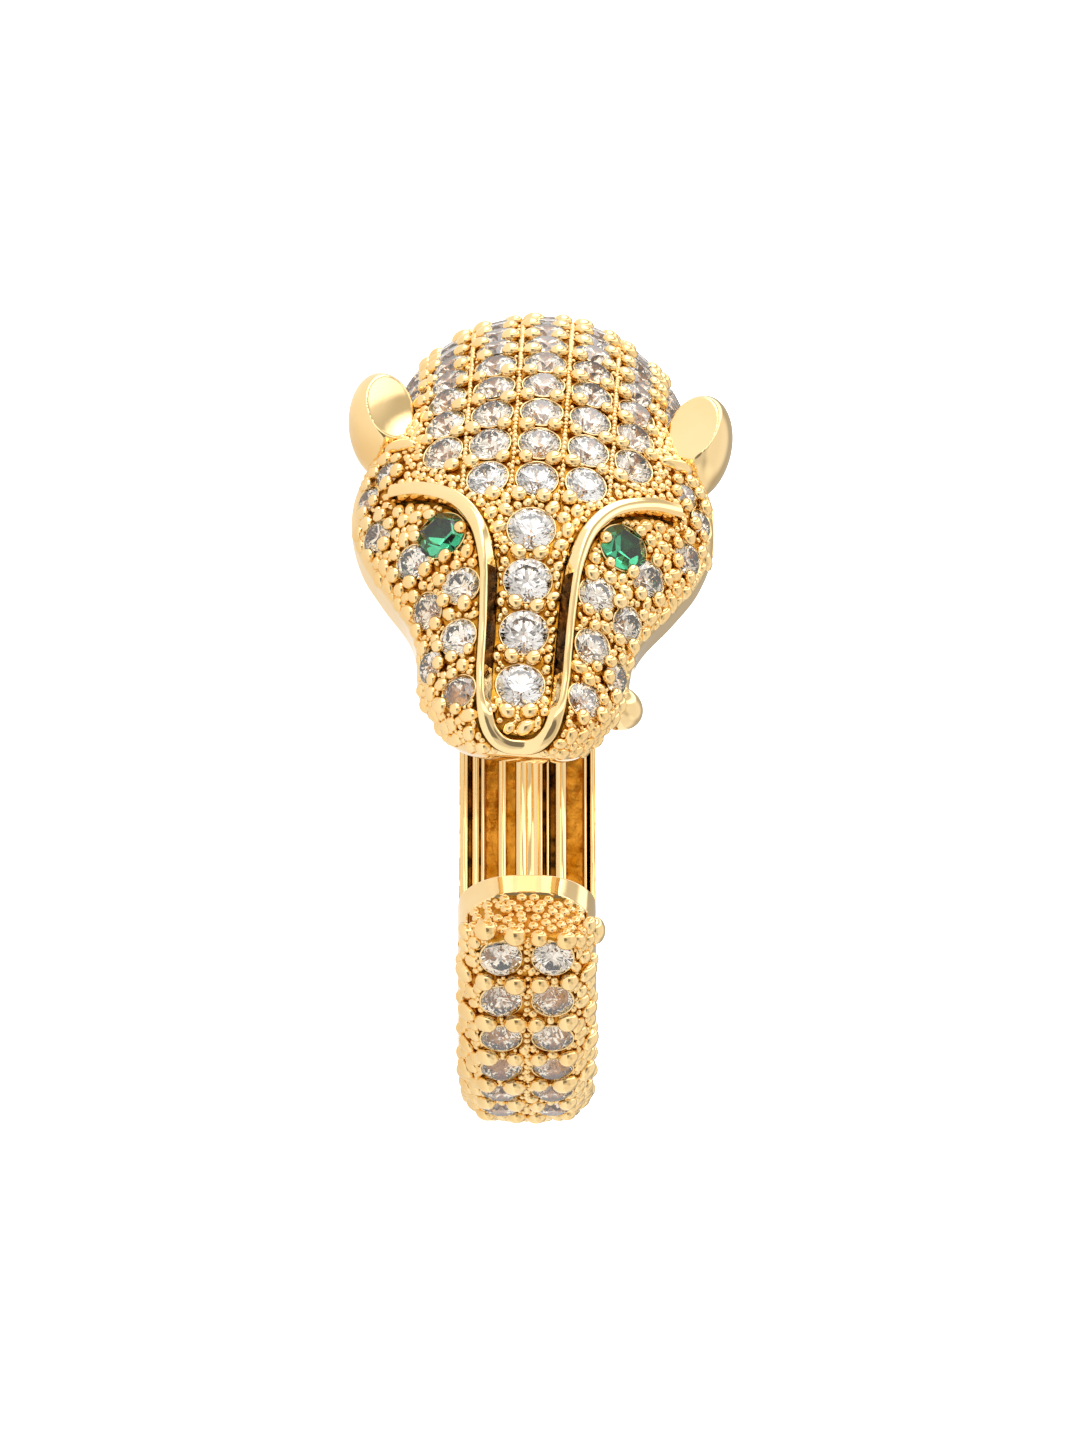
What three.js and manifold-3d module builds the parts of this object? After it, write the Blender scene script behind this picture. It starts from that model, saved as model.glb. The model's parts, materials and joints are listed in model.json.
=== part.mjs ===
// An open finger ring. One end is a big cat's head, the other a stone-set tail end, and the finger goes
// between them. The metal is one casting. Each main stone sits in a seat of its own, and the crown of the
// head is a setting whose small stones are fused to it.
//
// Ring frame: X runs along the finger, Y up towards the crown, Z out through the opening. A place on the
// ring is given by how far it lies across the band (X), its distance from the finger's axis, and its
// angle in degrees about that axis, from 0 at Z through 90 at Y.
// Head frame: the ring frame, rolled a little about Z and shifted across.
import * as THREE from "three";
import { mergeVertices } from "three/addons/utils/BufferGeometryUtils.js";
import Module from "manifold-3d";

const wasm = await Module();
wasm.setup();

// ---------------------------------------------------------------- driving dimensions (mm, degrees)

const FINGER_RADIUS = 8.75;
const CROWN_RADIUS = 12;
const BAND_HALF_WIDTH = 2.1;
const SEAT_GAP = 0.05;

const HEAD_ROLL = -4;
const HEAD_SHIFT = -0.2;

// How the ring lies on its side: it leans by this angle towards the part of the ring at LEAN_TOWARDS.
const LEAN = 9.249;
const LEAN_TOWARDS = 41.22;

// The head, from chin to neck. mid is the radius on the centre line, side and half are the radius and the
// half width where it is widest, flat is the half width of the level strip, power is the curve's fullness.
const HEAD_SECTIONS = [
  { deg: -7.2, mid: 9.8, side: 9.2, half: 0.9, flat: 0.3, power: 2.0 },
  { deg: -6.2, mid: 11.4, side: 9.8, half: 1.5, flat: 0.5, power: 2.0 },
  { deg: -5.2, mid: 12.7, side: 10.2, half: 1.85, flat: 0.8, power: 2.0 },
  { deg: -4.0, mid: 13.25, side: 10.4, half: 2.1, flat: 0.9, power: 1.9 },
  { deg: -2.0, mid: 13.48, side: 10.6, half: 2.45, flat: 1.0, power: 1.8 },
  { deg: 1.0, mid: 13.35, side: 10.6, half: 2.9, flat: 1.1, power: 1.75 },
  { deg: 5.0, mid: 12.88, side: 10.6, half: 3.1, flat: 1.1, power: 1.7 },
  { deg: 10.0, mid: 12.5, side: 10.5, half: 3.2, flat: 1.1, power: 1.65 },
  { deg: 14.0, mid: 12.28, side: 10.3, half: 3.5, flat: 1.1, power: 1.6 },
  { deg: 20.0, mid: 12.1, side: 9.9, half: 4.25, flat: 1.1, power: 1.5 },
  { deg: 27.0, mid: 12.04, side: 9.4, half: 4.95, flat: 1.0, power: 1.45 },
  { deg: 36.0, mid: CROWN_RADIUS, side: 8.9, half: 5.35, flat: 0.7, power: 1.5 },
  { deg: 45.0, mid: CROWN_RADIUS, side: 8.7, half: 5.35, flat: 0.3, power: 1.65 },
  { deg: 54.0, mid: CROWN_RADIUS, side: 8.4, half: 5.0, flat: 0.0, power: 1.8 },
  { deg: 64.0, mid: CROWN_RADIUS, side: 8.0, half: 4.65, flat: 0.0, power: 1.95 },
  { deg: 76.0, mid: CROWN_RADIUS, side: 7.7, half: 4.55, flat: 0.0, power: 2.0 },
  { deg: 98.0, mid: CROWN_RADIUS, side: 7.7, half: 4.5, flat: 0.0, power: 2.0 },
  { deg: 108.0, mid: 11.85, side: 8.0, half: 4.2, flat: 0.0, power: 2.0 },
  { deg: 118.0, mid: 11.5, side: 8.6, half: 3.5, flat: 0.0, power: 2.0 },
  { deg: 130.0, mid: 11.0, side: 9.4, half: 2.3, flat: 0.0, power: 2.1 },
  { deg: 138.0, mid: 10.7, side: 9.6, half: 1.7, flat: 0.0, power: 2.2 },
];

// The band, from under the neck round the back of the finger to the tail end.
const BAND_SECTIONS = [
  { deg: 108, mid: 10.6, side: 10.1, half: BAND_HALF_WIDTH, flat: 0.2, power: 2.4 },
  { deg: 130, mid: 10.95, side: 10.3, half: BAND_HALF_WIDTH, flat: 0.2, power: 2.4 },
  { deg: 180, mid: 10.9, side: 10.3, half: BAND_HALF_WIDTH, flat: 0.2, power: 2.4 },
  { deg: 235, mid: 10.95, side: 10.3, half: BAND_HALF_WIDTH, flat: 0.2, power: 2.4 },
  { deg: 255, mid: 11.35, side: 10.3, half: BAND_HALF_WIDTH, flat: 0.4, power: 2.4 },
  { deg: 270, mid: 11.9, side: 10.3, half: 2.05, flat: 0.7, power: 2.2 },
  { deg: 285, mid: CROWN_RADIUS, side: 10.3, half: 2.05, flat: 0.8, power: 2.2 },
  { deg: 327, mid: CROWN_RADIUS, side: 10.3, half: 2.05, flat: 0.8, power: 2.2 },
  { deg: 330, mid: 11.75, side: 10.3, half: 2.0, flat: 0.8, power: 2.2 },
  { deg: 331.5, mid: 11.35, side: 10.2, half: 1.75, flat: 0.8, power: 2.2 },
];

// Channels cast along the inside of the band, on both sides of its centre.
const CHANNELS = [
  { from: 1.5, to: 1.84, floor: 9.45 },
  { from: 0.95, to: 1.38, floor: 9.4 },
  { from: 0.28, to: 0.6, floor: 9.1 },
];
const CHANNEL_START = 138;
const CHANNEL_END = 324;

// The angle between sections of the band.
const BAND_PITCH = 8;

const TAIL_RECESS = { half: 0.62, inner: 9.45, outer: 10.6, depth: 0.5 };

// Brow and nose rail, from the outer end of one brow down to the middle of the chin, in the head frame.
const RAIL_WIDTH = 0.42;
const RAIL_HEIGHT = 0.42;
const RAIL_STEPS = 46;
const RAIL_PATH = [
  { across: 4.36, up: 6.26 },
  { across: 3.3, up: 6.43 },
  { across: 2.25, up: 6.2 },
  { across: 1.58, up: 5.6 },
  { across: 1.25, up: 4.6 },
  { across: 1.17, up: 3.2 },
  { across: 1.1, up: 1.3 },
  { across: 1.05, up: 0.3 },
  { across: 0.75, up: -0.55 },
  { across: 0, up: -0.92 },
];

// Ears, on the right. The hollow is scooped out of the lobe from the front.
const EAR_LOBE = { across: 4.66, up: 8.42, out: 4.9, halfWidth: 1.05, halfHeight: 1.62, halfDepth: 1.5 };
const EAR_HOLLOW = { across: 4.35, up: 8.85, out: 6.25, halfWidth: 0.75, halfHeight: 1.1, halfDepth: 1.15 };
const EAR_LEAN = -10;

const JAW_NUB = { across: 3.24, up: 0.5, out: 10.7, radius: 0.36 };

// Round brilliants, as shares of their diameter.
const BRILLIANT = { table: 0.56, crown: 0.16, girdle: 0.03, pavilion: 0.42, sides: 8 };
const STONE_SINK = 0.08;

const EYES = { across: 2.7, up: 5.27, diameter: 1.5 };
const NOSE_STONES = { across: -0.06, top: 5.65, pitch: 1.535, count: 4, diameter: 1.4 };
const CROWN_GRID = { firstDeg: 36.6, pitchDeg: 6.6, rows: 10, columns: [0, 1.47, 2.85], diameter: 1.22 };
const CHEEK_STONES = [
  { across: 4.45, up: 7.0, diameter: 0.9 },
  { across: 4.98, up: 6.18, diameter: 0.9 },
  { across: 4.63, up: 5.1, diameter: 1.1 },
  { across: 3.5, up: 4.4, diameter: 1.15 },
  { across: 2.03, up: 3.82, diameter: 1.15 },
  { across: 2.98, up: 3.0, diameter: 1.1 },
  { across: 2.0, up: 2.3, diameter: 1.15 },
  { across: 2.78, up: 1.42, diameter: 1.05 },
  { across: 1.87, up: 0.72, diameter: 1.1 },
];
const TAIL_STONES = { across: 0.76, firstDeg: 324.2, pitchDeg: -8, rows: 6, diameter: 1.2 };

// The crown setting is let into the head as a plate this thick.
const CROWN_PLATE = { fromDeg: 40, toDeg: 99.5, half: 3.42, thickness: 0.8 };

const GOLD = { color: 0xe3b04b, metalness: 1, roughness: 0.22 };
const WHITE_STONE = { color: 0xf1ebe4, metalness: 0, roughness: 0.05 };
const GREEN_STONE = { color: 0x0e6b3e, metalness: 0, roughness: 0.05 };

// ---------------------------------------------------------------- solids

function solidOf(geometry) {
  const bare = new THREE.BufferGeometry();
  bare.setAttribute("position", geometry.getAttribute("position").clone());
  bare.setIndex(geometry.getIndex());
  const merged = mergeVertices(bare, 1e-5);
  const corners = Array.from(merged.getIndex().array);
  const build = () =>
    new wasm.Manifold(
      new wasm.Mesh({
        numProp: 3,
        vertProperties: Float32Array.from(merged.getAttribute("position").array),
        triVerts: Uint32Array.from(corners),
      }),
    );
  const solid = build();
  if (solid.volume() >= 0) return solid;
  for (let i = 0; i < corners.length; i += 3) {
    [corners[i], corners[i + 1]] = [corners[i + 1], corners[i]];
  }
  return build();
}

function geometryOf(solid) {
  const { vertProperties, triVerts } = solid.getMesh();
  const geometry = new THREE.BufferGeometry();
  geometry.setAttribute("position", new THREE.BufferAttribute(vertProperties, 3));
  geometry.setIndex(new THREE.BufferAttribute(triVerts, 1));
  return geometry;
}

// A closed solid through convex sections, each a list with the same number of points.
function loft(sections) {
  const count = sections[0].length;
  const faces = [];
  for (let i = 0; i < sections.length - 1; i += 1) {
    for (let j = 0; j < count; j += 1) {
      const [a, b] = [i * count + j, i * count + ((j + 1) % count)];
      faces.push(a, b, b + count, a, b + count, a + count);
    }
  }
  const last = (sections.length - 1) * count;
  for (let j = 1; j < count - 1; j += 1) {
    faces.push(0, j + 1, j, last, last + j, last + j + 1);
  }
  const geometry = new THREE.BufferGeometry().setFromPoints(sections.flat());
  geometry.setIndex(faces);
  return solidOf(geometry);
}

function placed(geometry, matrix) {
  return solidOf(geometry.clone().applyMatrix4(matrix));
}

// ---------------------------------------------------------------- places on the ring

const radians = THREE.MathUtils.degToRad;

function polar(across, radius, deg) {
  return new THREE.Vector3(across, radius * Math.sin(radians(deg)), radius * Math.cos(radians(deg)));
}

// A column of a section table at any angle: a smooth curve through the rows.
function read(table, column, deg) {
  const last = table.length - 1;
  const at = THREE.MathUtils.clamp(deg, table[0].deg, table[last].deg);
  let i = 0;
  while (i < last - 1 && table[i + 1].deg < at) i += 1;
  const slope = (k) => {
    const [before, after] = [table[Math.max(k - 1, 0)], table[Math.min(k + 1, last)]];
    return (after[column] - before[column]) / (after.deg - before.deg);
  };
  const span = table[i + 1].deg - table[i].deg;
  const t = (at - table[i].deg) / span;
  const ease = t * t * (3 - 2 * t);
  const level = table[i][column] * (1 - ease) + table[i + 1][column] * ease;
  return level + span * t * (1 - t) * ((1 - t) * slope(i) - t * slope(i + 1));
}

function sectionAt(table, deg) {
  const section = { deg };
  for (const column of ["mid", "side", "half", "flat", "power"]) section[column] = read(table, column, deg);
  return section;
}

function surfaceRadius(table, deg, across) {
  const { mid, side, half, flat, power } = sectionAt(table, deg);
  const x = THREE.MathUtils.clamp((Math.abs(across) - flat) / (half - flat), 0, 1);
  return side + (mid - side) * (1 - x ** power) ** (1 / power);
}

function surfacePoint(table, deg, across) {
  return polar(across, surfaceRadius(table, deg, across), deg);
}

// The frame of a place on the surface: its origin there, Z outwards and Y on towards larger angles.
function surfaceFrame(table, deg, across) {
  const step = 0.05;
  const along = surfacePoint(table, deg + step, across).sub(surfacePoint(table, deg - step, across));
  const side = surfacePoint(table, deg, across + step).sub(surfacePoint(table, deg, across - step));
  const out = side.clone().cross(along).normalize();
  const right = along.clone().normalize().cross(out).normalize();
  const frame = new THREE.Matrix4().makeBasis(right, out.clone().cross(right), out);
  return frame.setPosition(surfacePoint(table, deg, across));
}

// The angle at which the head's surface reaches a height.
function headAngle(across, up) {
  let [low, high] = [HEAD_SECTIONS[0].deg, 90];
  for (let i = 0; i < 40; i += 1) {
    const middle = (low + high) / 2;
    if (surfacePoint(HEAD_SECTIONS, middle, across).y < up) low = middle;
    else high = middle;
  }
  return (low + high) / 2;
}

const headFrame = new THREE.Matrix4()
  .makeTranslation(HEAD_SHIFT, 0, 0)
  .multiply(new THREE.Matrix4().makeRotationZ(radians(HEAD_ROLL)));

// ---------------------------------------------------------------- lofts along the ring

const CORE_RADIUS = 8;

// One section of the head or band, with its outside drawn in by inset.
function sectionPoints(table, deg, steps, inset = 0) {
  const { mid, side, half, flat, power } = sectionAt(table, deg);
  const [outer, wide] = [mid - inset, half - inset];
  const points = [polar(-wide, CORE_RADIUS, deg), polar(wide, CORE_RADIUS, deg)];
  for (let i = 0; i <= 2 * steps; i += 1) {
    const turn = (Math.PI * i) / (2 * steps);
    const reach = Math.abs(Math.cos(turn)) ** (2 / power) * (wide - flat) + flat;
    const rise = Math.max(Math.sin(turn), 0) ** (2 / power) * (outer - side);
    points.push(polar(Math.sign(steps - i) * reach, side + rise, deg));
  }
  return points;
}

function anglesBetween(from, to, pitch) {
  const count = Math.round((to - from) / pitch);
  return Array.from({ length: count + 1 }, (_, i) => from + ((to - from) * i) / count);
}

function makeHead() {
  const chin = anglesBetween(-7.2, -4, 1.07);
  const face = anglesBetween(-2, 34.5, 3.65);
  const crown = anglesBetween(40, 138, 6.6);
  return loft([...chin, ...face, ...crown].map((deg) => sectionPoints(HEAD_SECTIONS, deg, 7)));
}

function makeBand() {
  const angles = [...anglesBetween(108, 324, BAND_PITCH), 327.5, 330, 331.5];
  let band = loft(angles.map((deg) => sectionPoints(BAND_SECTIONS, deg, 4)));
  for (const { from, to, floor } of CHANNELS) {
    for (const side of [-1, 1]) {
      const ring = anglesBetween(CHANNEL_START, CHANNEL_END, BAND_PITCH).map((deg) => [
        polar(side * from, CORE_RADIUS, deg),
        polar(side * to, CORE_RADIUS, deg),
        polar(side * to, floor, deg),
        polar(side * from, floor, deg),
      ]);
      band = band.subtract(loft(ring));
    }
  }
  return band.subtract(makeTailRecess());
}

// The shallow sunk field in the tail's end face.
function makeTailRecess() {
  const { half, inner, outer, depth } = TAIL_RECESS;
  const last = BAND_SECTIONS.at(-1).deg;
  const box = new THREE.BoxGeometry(2 * half, 2 * depth, outer - inner);
  const turn = new THREE.Matrix4().makeRotationX(-radians(last));
  return placed(box.translate(0, 0, (inner + outer) / 2), turn);
}

function makeFingerHole() {
  const around = new THREE.CylinderGeometry(FINGER_RADIUS, FINGER_RADIUS, 20, 48);
  return placed(around, new THREE.Matrix4().makeRotationZ(Math.PI / 2));
}

// ---------------------------------------------------------------- features of the head

function makeRail() {
  const half = RAIL_PATH.map(({ across, up }) => new THREE.Vector3(across, up, 0));
  const mirrored = half.slice(0, -1).map((p) => new THREE.Vector3(-p.x, p.y, 0));
  const curve = new THREE.CatmullRomCurve3([...half, ...mirrored.reverse()], false, "centripetal");
  const sections = curve.getSpacedPoints(RAIL_STEPS).map((p, i) => {
    const frame = surfaceFrame(HEAD_SECTIONS, headAngle(p.x, p.y), p.x);
    const out = new THREE.Vector3().setFromMatrixColumn(frame, 2);
    const ahead = curve.getTangentAt(i / RAIL_STEPS);
    const side = ahead.clone().cross(out).normalize();
    const centre = new THREE.Vector3().setFromMatrixPosition(frame);
    const corner = (s, h) => centre.clone().addScaledVector(side, s).addScaledVector(out, h);
    const w = RAIL_WIDTH / 2;
    const h = RAIL_HEIGHT;
    return [corner(-w, -h), corner(w, -h), corner(w, 0.7 * h), corner(0.5 * w, h), corner(-0.5 * w, h),
      corner(-w, 0.7 * h)];
  });
  return loft(sections);
}

function ellipsoid({ across, up, out, halfWidth, halfHeight, halfDepth }, side) {
  const ball = new THREE.SphereGeometry(1, 16, 12).scale(halfWidth, halfHeight, halfDepth);
  ball.rotateZ(radians(side * EAR_LEAN));
  return solidOf(ball.translate(side * across, up, out));
}

function makeEar(side) {
  return ellipsoid(EAR_LOBE, side).subtract(ellipsoid(EAR_HOLLOW, side));
}

function makeJawNub() {
  const { across, up, out, radius } = JAW_NUB;
  return solidOf(new THREE.SphereGeometry(radius, 8, 6).translate(across, up, out));
}

// ---------------------------------------------------------------- stones

// A brilliant with its girdle at height 0 and its table towards +Z, or, with a gap, the space cut for it.
function brilliant(diameter, gap = 0) {
  const radius = diameter / 2 + gap;
  const { table, crown, girdle, pavilion, sides } = BRILLIANT;
  const below = [new THREE.Vector2(0, -pavilion * diameter - gap), new THREE.Vector2(radius, -gap / 2)];
  const top = crown * diameter;
  const above = gap
    ? [new THREE.Vector2(radius, 2 * top + gap), new THREE.Vector2(0, 2 * top + gap)]
    : [
        new THREE.Vector2(radius, girdle * diameter),
        new THREE.Vector2(table * radius, top),
        new THREE.Vector2(0, top),
      ];
  return new THREE.LatheGeometry([...below, ...above], sides).rotateX(Math.PI / 2);
}

function sunk(frame) {
  return frame.clone().multiply(new THREE.Matrix4().makeTranslation(0, 0, -STONE_SINK));
}

function onHead(deg, across) {
  return headFrame.clone().multiply(sunk(surfaceFrame(HEAD_SECTIONS, deg, across)));
}

function listStones() {
  const stones = [];
  const add = (name, diameter, frame, look = WHITE_STONE) => stones.push({ name, diameter, frame, look });
  const sides = { left: -1, right: 1 };
  for (const [word, side] of Object.entries(sides)) {
    const across = side * EYES.across;
    add(`eye_${word}`, EYES.diameter, onHead(headAngle(across, EYES.up), across), GREEN_STONE);
    CHEEK_STONES.forEach((stone, i) => {
      const x = side * stone.across;
      add(`cheek_${word}_${i + 1}`, stone.diameter, onHead(headAngle(x, stone.up), x));
    });
    for (let i = 0; i < TAIL_STONES.rows; i += 1) {
      const deg = TAIL_STONES.firstDeg + i * TAIL_STONES.pitchDeg;
      const frame = sunk(surfaceFrame(BAND_SECTIONS, deg, side * TAIL_STONES.across));
      add(`tail_${word}_${i + 1}`, TAIL_STONES.diameter, frame);
    }
  }
  for (let i = 0; i < NOSE_STONES.count; i += 1) {
    const up = NOSE_STONES.top - i * NOSE_STONES.pitch;
    const deg = headAngle(NOSE_STONES.across, up);
    add(`nose_stone_${i + 1}`, NOSE_STONES.diameter, onHead(deg, NOSE_STONES.across));
  }
  const pitch = CROWN_GRID.columns[1];
  [-pitch, 0, pitch].forEach((across, i) => {
    add(`brow_stone_${i + 1}`, CROWN_GRID.diameter, onHead(CROWN_GRID.firstDeg, across));
  });
  return stones;
}

// ---------------------------------------------------------------- crown setting

// A wedge of space between two angles, within half of the centre line.
function wedge(fromDeg, toDeg, half) {
  const reach = 20;
  const outline = anglesBetween(fromDeg, toDeg, 20).map((deg) => {
    const { y, z } = polar(0, reach, deg);
    return new THREE.Vector2(z, y);
  });
  const shape = new THREE.Shape([new THREE.Vector2(0, 0), ...outline]);
  const slab = new THREE.ExtrudeGeometry(shape, { depth: 2 * half, bevelEnabled: false });
  return placed(slab.translate(0, 0, -half), new THREE.Matrix4().makeRotationY(-Math.PI / 2).scale(
    new THREE.Vector3(1, 1, -1),
  ));
}

function makeCore(inset) {
  return loft(anglesBetween(20, 120, 5).map((deg) => sectionPoints(HEAD_SECTIONS, deg, 9, inset)));
}

function makeCrownPocket() {
  const { fromDeg, toDeg, half, thickness } = CROWN_PLATE;
  const edge = THREE.MathUtils.radToDeg(SEAT_GAP / CROWN_RADIUS);
  const space = wedge(fromDeg - edge, toDeg + edge, half + SEAT_GAP);
  return space.subtract(makeCore(thickness + SEAT_GAP));
}

function makeCrownSetting(head) {
  const { fromDeg, toDeg, half, thickness } = CROWN_PLATE;
  let setting = head.intersect(wedge(fromDeg, toDeg, half)).subtract(makeCore(thickness));
  setting = setting.subtract(makeFingerHole());
  const { firstDeg, pitchDeg, rows, columns, diameter } = CROWN_GRID;
  for (let row = 1; row < rows; row += 1) {
    for (const across of columns.flatMap((x) => (x ? [-x, x] : [0]))) {
      const frame = sunk(surfaceFrame(HEAD_SECTIONS, firstDeg + row * pitchDeg, across));
      setting = setting.add(placed(brilliant(diameter), frame));
    }
  }
  return setting;
}

// ---------------------------------------------------------------- assembly

const stones = listStones();
const head = makeHead();

function makeBody() {
  let face = head.subtract(makeCrownPocket()).add(makeRail()).add(makeEar(1)).add(makeEar(-1));
  face = face.add(makeJawNub()).transform(headFrame.elements);
  let body = face.add(makeBand()).subtract(makeFingerHole());
  for (const { diameter, frame } of stones) body = body.subtract(placed(brilliant(diameter, SEAT_GAP), frame));
  return geometryOf(body);
}

const ring = new THREE.Group();

function addMesh(name, geometry, look, frame) {
  const mesh = new THREE.Mesh(geometry, new THREE.MeshStandardMaterial(look));
  mesh.name = name;
  if (frame) mesh.applyMatrix4(frame);
  ring.add(mesh);
}

addMesh("ring_body", makeBody(), GOLD);
addMesh("crown_pave", geometryOf(makeCrownSetting(head)), GOLD, headFrame);
for (const { name, diameter, frame, look } of stones) addMesh(name, brilliant(diameter), look, frame);

// The ring lies on its left side, with its opening towards -Y and its crown towards -X, and leans on its
// ear and the far edge of the band.
const leanAxis = polar(0, 1, LEAN_TOWARDS + 90);
const leaning = new THREE.Matrix4().makeRotationAxis(leanAxis, radians(LEAN));
const lying = new THREE.Matrix4().makeBasis(
  new THREE.Vector3(0, 0, 1),
  new THREE.Vector3(-1, 0, 0),
  new THREE.Vector3(0, -1, 0),
);
ring.applyMatrix4(lying.multiply(leaning));

const part = new THREE.Group();
part.add(ring);
const bounds = new THREE.Box3().setFromObject(part, true);
const middle = bounds.getCenter(new THREE.Vector3());
part.position.set(-middle.x, -middle.y, -bounds.min.z);

export default part;
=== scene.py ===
# %% [markdown]
# # A stone-set big cat ring, from casting to studio
# The ring is one gold-plated brass casting, open on one side. A big cat's head sits on one end and a
# stone-set tail on the other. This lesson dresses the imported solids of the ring: every metal surface and
# every stone is made again in fine detail, at the solids' own size and place.
#
# They stay where they are, and the pieces made here ride with them.

# %% Load the frame
import json
import math

import bpy
import numpy as np
from mathutils import Matrix, Vector, noise


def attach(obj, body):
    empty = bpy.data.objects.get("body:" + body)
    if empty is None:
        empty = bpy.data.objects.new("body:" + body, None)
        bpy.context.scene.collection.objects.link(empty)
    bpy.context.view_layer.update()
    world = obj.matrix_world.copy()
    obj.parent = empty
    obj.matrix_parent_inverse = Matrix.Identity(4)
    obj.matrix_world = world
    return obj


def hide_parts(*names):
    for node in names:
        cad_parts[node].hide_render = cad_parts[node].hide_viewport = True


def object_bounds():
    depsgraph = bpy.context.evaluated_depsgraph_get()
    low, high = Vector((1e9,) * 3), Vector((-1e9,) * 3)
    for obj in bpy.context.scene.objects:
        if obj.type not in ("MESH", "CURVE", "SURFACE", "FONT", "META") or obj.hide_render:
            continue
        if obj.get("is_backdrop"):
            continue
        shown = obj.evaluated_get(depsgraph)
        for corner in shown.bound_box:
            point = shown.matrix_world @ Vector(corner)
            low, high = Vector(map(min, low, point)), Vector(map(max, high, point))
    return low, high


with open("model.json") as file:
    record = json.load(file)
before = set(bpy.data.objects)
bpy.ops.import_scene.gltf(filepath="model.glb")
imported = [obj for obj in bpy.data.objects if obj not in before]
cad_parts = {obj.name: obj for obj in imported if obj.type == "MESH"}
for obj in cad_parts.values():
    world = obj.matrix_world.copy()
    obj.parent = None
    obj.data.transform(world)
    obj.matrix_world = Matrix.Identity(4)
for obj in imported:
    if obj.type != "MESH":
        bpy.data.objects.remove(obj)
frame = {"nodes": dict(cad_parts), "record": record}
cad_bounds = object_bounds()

MM = 0.001
BODY = "root"
print(len(frame["nodes"]), "CAD nodes, box", [round(v / MM, 2) for corner in cad_bounds for v in corner])

# %% [markdown]
# ## Where the ring lies
# The ring lies on its side and leans on an ear. All shapes below are worked out in the ring's own frame,
# in millimetres: X along the finger, Y up to the crown of the head, Z out through the opening. The record
# holds a flat face on the band's side, whose normal is the ring's X axis. Upright, X would point along +Z,
# Y along -X and Z along -Y, and the shortest turn from +Z to that normal is the lean.

# %% Ring frame to world
FINGER_RADIUS = 8.75
CROWN_RADIUS = 12.0
BAND_HALF_WIDTH = 2.1
FACE_PLACE = (BAND_HALF_WIDTH, 9.5, 184.0)  # across, radius and angle of the stored flat face


def polar(across, radius, deg):
    """A place in the ring frame from its offset across, distance from the finger's axis and angle."""
    turn = np.radians(deg)
    return np.stack(np.broadcast_arrays(across, radius * np.sin(turn), radius * np.cos(turn)), axis=-1)


mount = next(m for m in frame["record"]["mounts"] if m["name"] == "band_side_up")
finger_axis = Vector(mount["axis"]).normalized()
upright = Matrix(((0, -1, 0), (0, 0, -1), (1, 0, 0)))
turned = Vector((0, 0, 1)).rotation_difference(finger_axis).to_matrix() @ upright
centre = Vector(mount["pos_m"]) - turned @ Vector(polar(*FACE_PLACE)) * MM
ring_to_world = Matrix.Translation(centre) @ turned.to_4x4() @ Matrix.Scale(MM, 4)
print("the finger axis leans", round(math.degrees(finger_axis.angle((0, 0, 1))), 2), "degrees")

# %% [markdown]
# ## The forms of the head and the band
# A ring is easiest to measure in slices through the finger's axis. Each row below is one slice: its angle,
# the radius on the centre line, the radius and half width where it is widest, the half width of a level
# strip along the middle, and how full the curve between them is. Rows are joined by smooth curves.

# %% Section tables
COLUMNS = ("deg", "mid", "side", "half", "flat", "power")
HEAD = np.array([
    (-7.2, 9.8, 9.2, 0.9, 0.3, 2.0),
    (-6.2, 11.4, 9.8, 1.5, 0.5, 2.0),
    (-5.2, 12.7, 10.2, 1.85, 0.8, 2.0),
    (-4.0, 13.25, 10.4, 2.1, 0.9, 1.9),
    (-2.0, 13.48, 10.6, 2.45, 1.0, 1.8),
    (1.0, 13.35, 10.6, 2.9, 1.1, 1.75),
    (5.0, 12.88, 10.6, 3.1, 1.1, 1.7),
    (10.0, 12.5, 10.5, 3.2, 1.1, 1.65),
    (14.0, 12.28, 10.3, 3.5, 1.1, 1.6),
    (20.0, 12.1, 9.9, 4.25, 1.1, 1.5),
    (27.0, 12.04, 9.4, 4.95, 1.0, 1.45),
    (36.0, CROWN_RADIUS, 8.9, 5.35, 0.7, 1.5),
    (45.0, CROWN_RADIUS, 8.7, 5.35, 0.3, 1.65),
    (54.0, CROWN_RADIUS, 8.4, 5.0, 0.0, 1.8),
    (64.0, CROWN_RADIUS, 8.0, 4.65, 0.0, 1.95),
    (76.0, CROWN_RADIUS, 7.7, 4.55, 0.0, 2.0),
    (98.0, CROWN_RADIUS, 7.7, 4.5, 0.0, 2.0),
    (108.0, 11.85, 8.0, 4.2, 0.0, 2.0),
    (118.0, 11.48, 8.65, 3.4, 0.0, 2.0),
    (127.0, 11.12, 9.3, 2.52, 0.1, 2.15),
    (134.0, 10.93, 9.82, BAND_HALF_WIDTH + 0.14, 0.2, 2.25),
    (139.0, 10.89, 10.04, BAND_HALF_WIDTH + 0.025, 0.2, 2.3),
    (144.0, 10.87, 10.1, BAND_HALF_WIDTH - 0.02, 0.2, 2.35),
    (148.0, 10.82, 10.1, BAND_HALF_WIDTH - 0.05, 0.2, 2.35),
])
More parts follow.
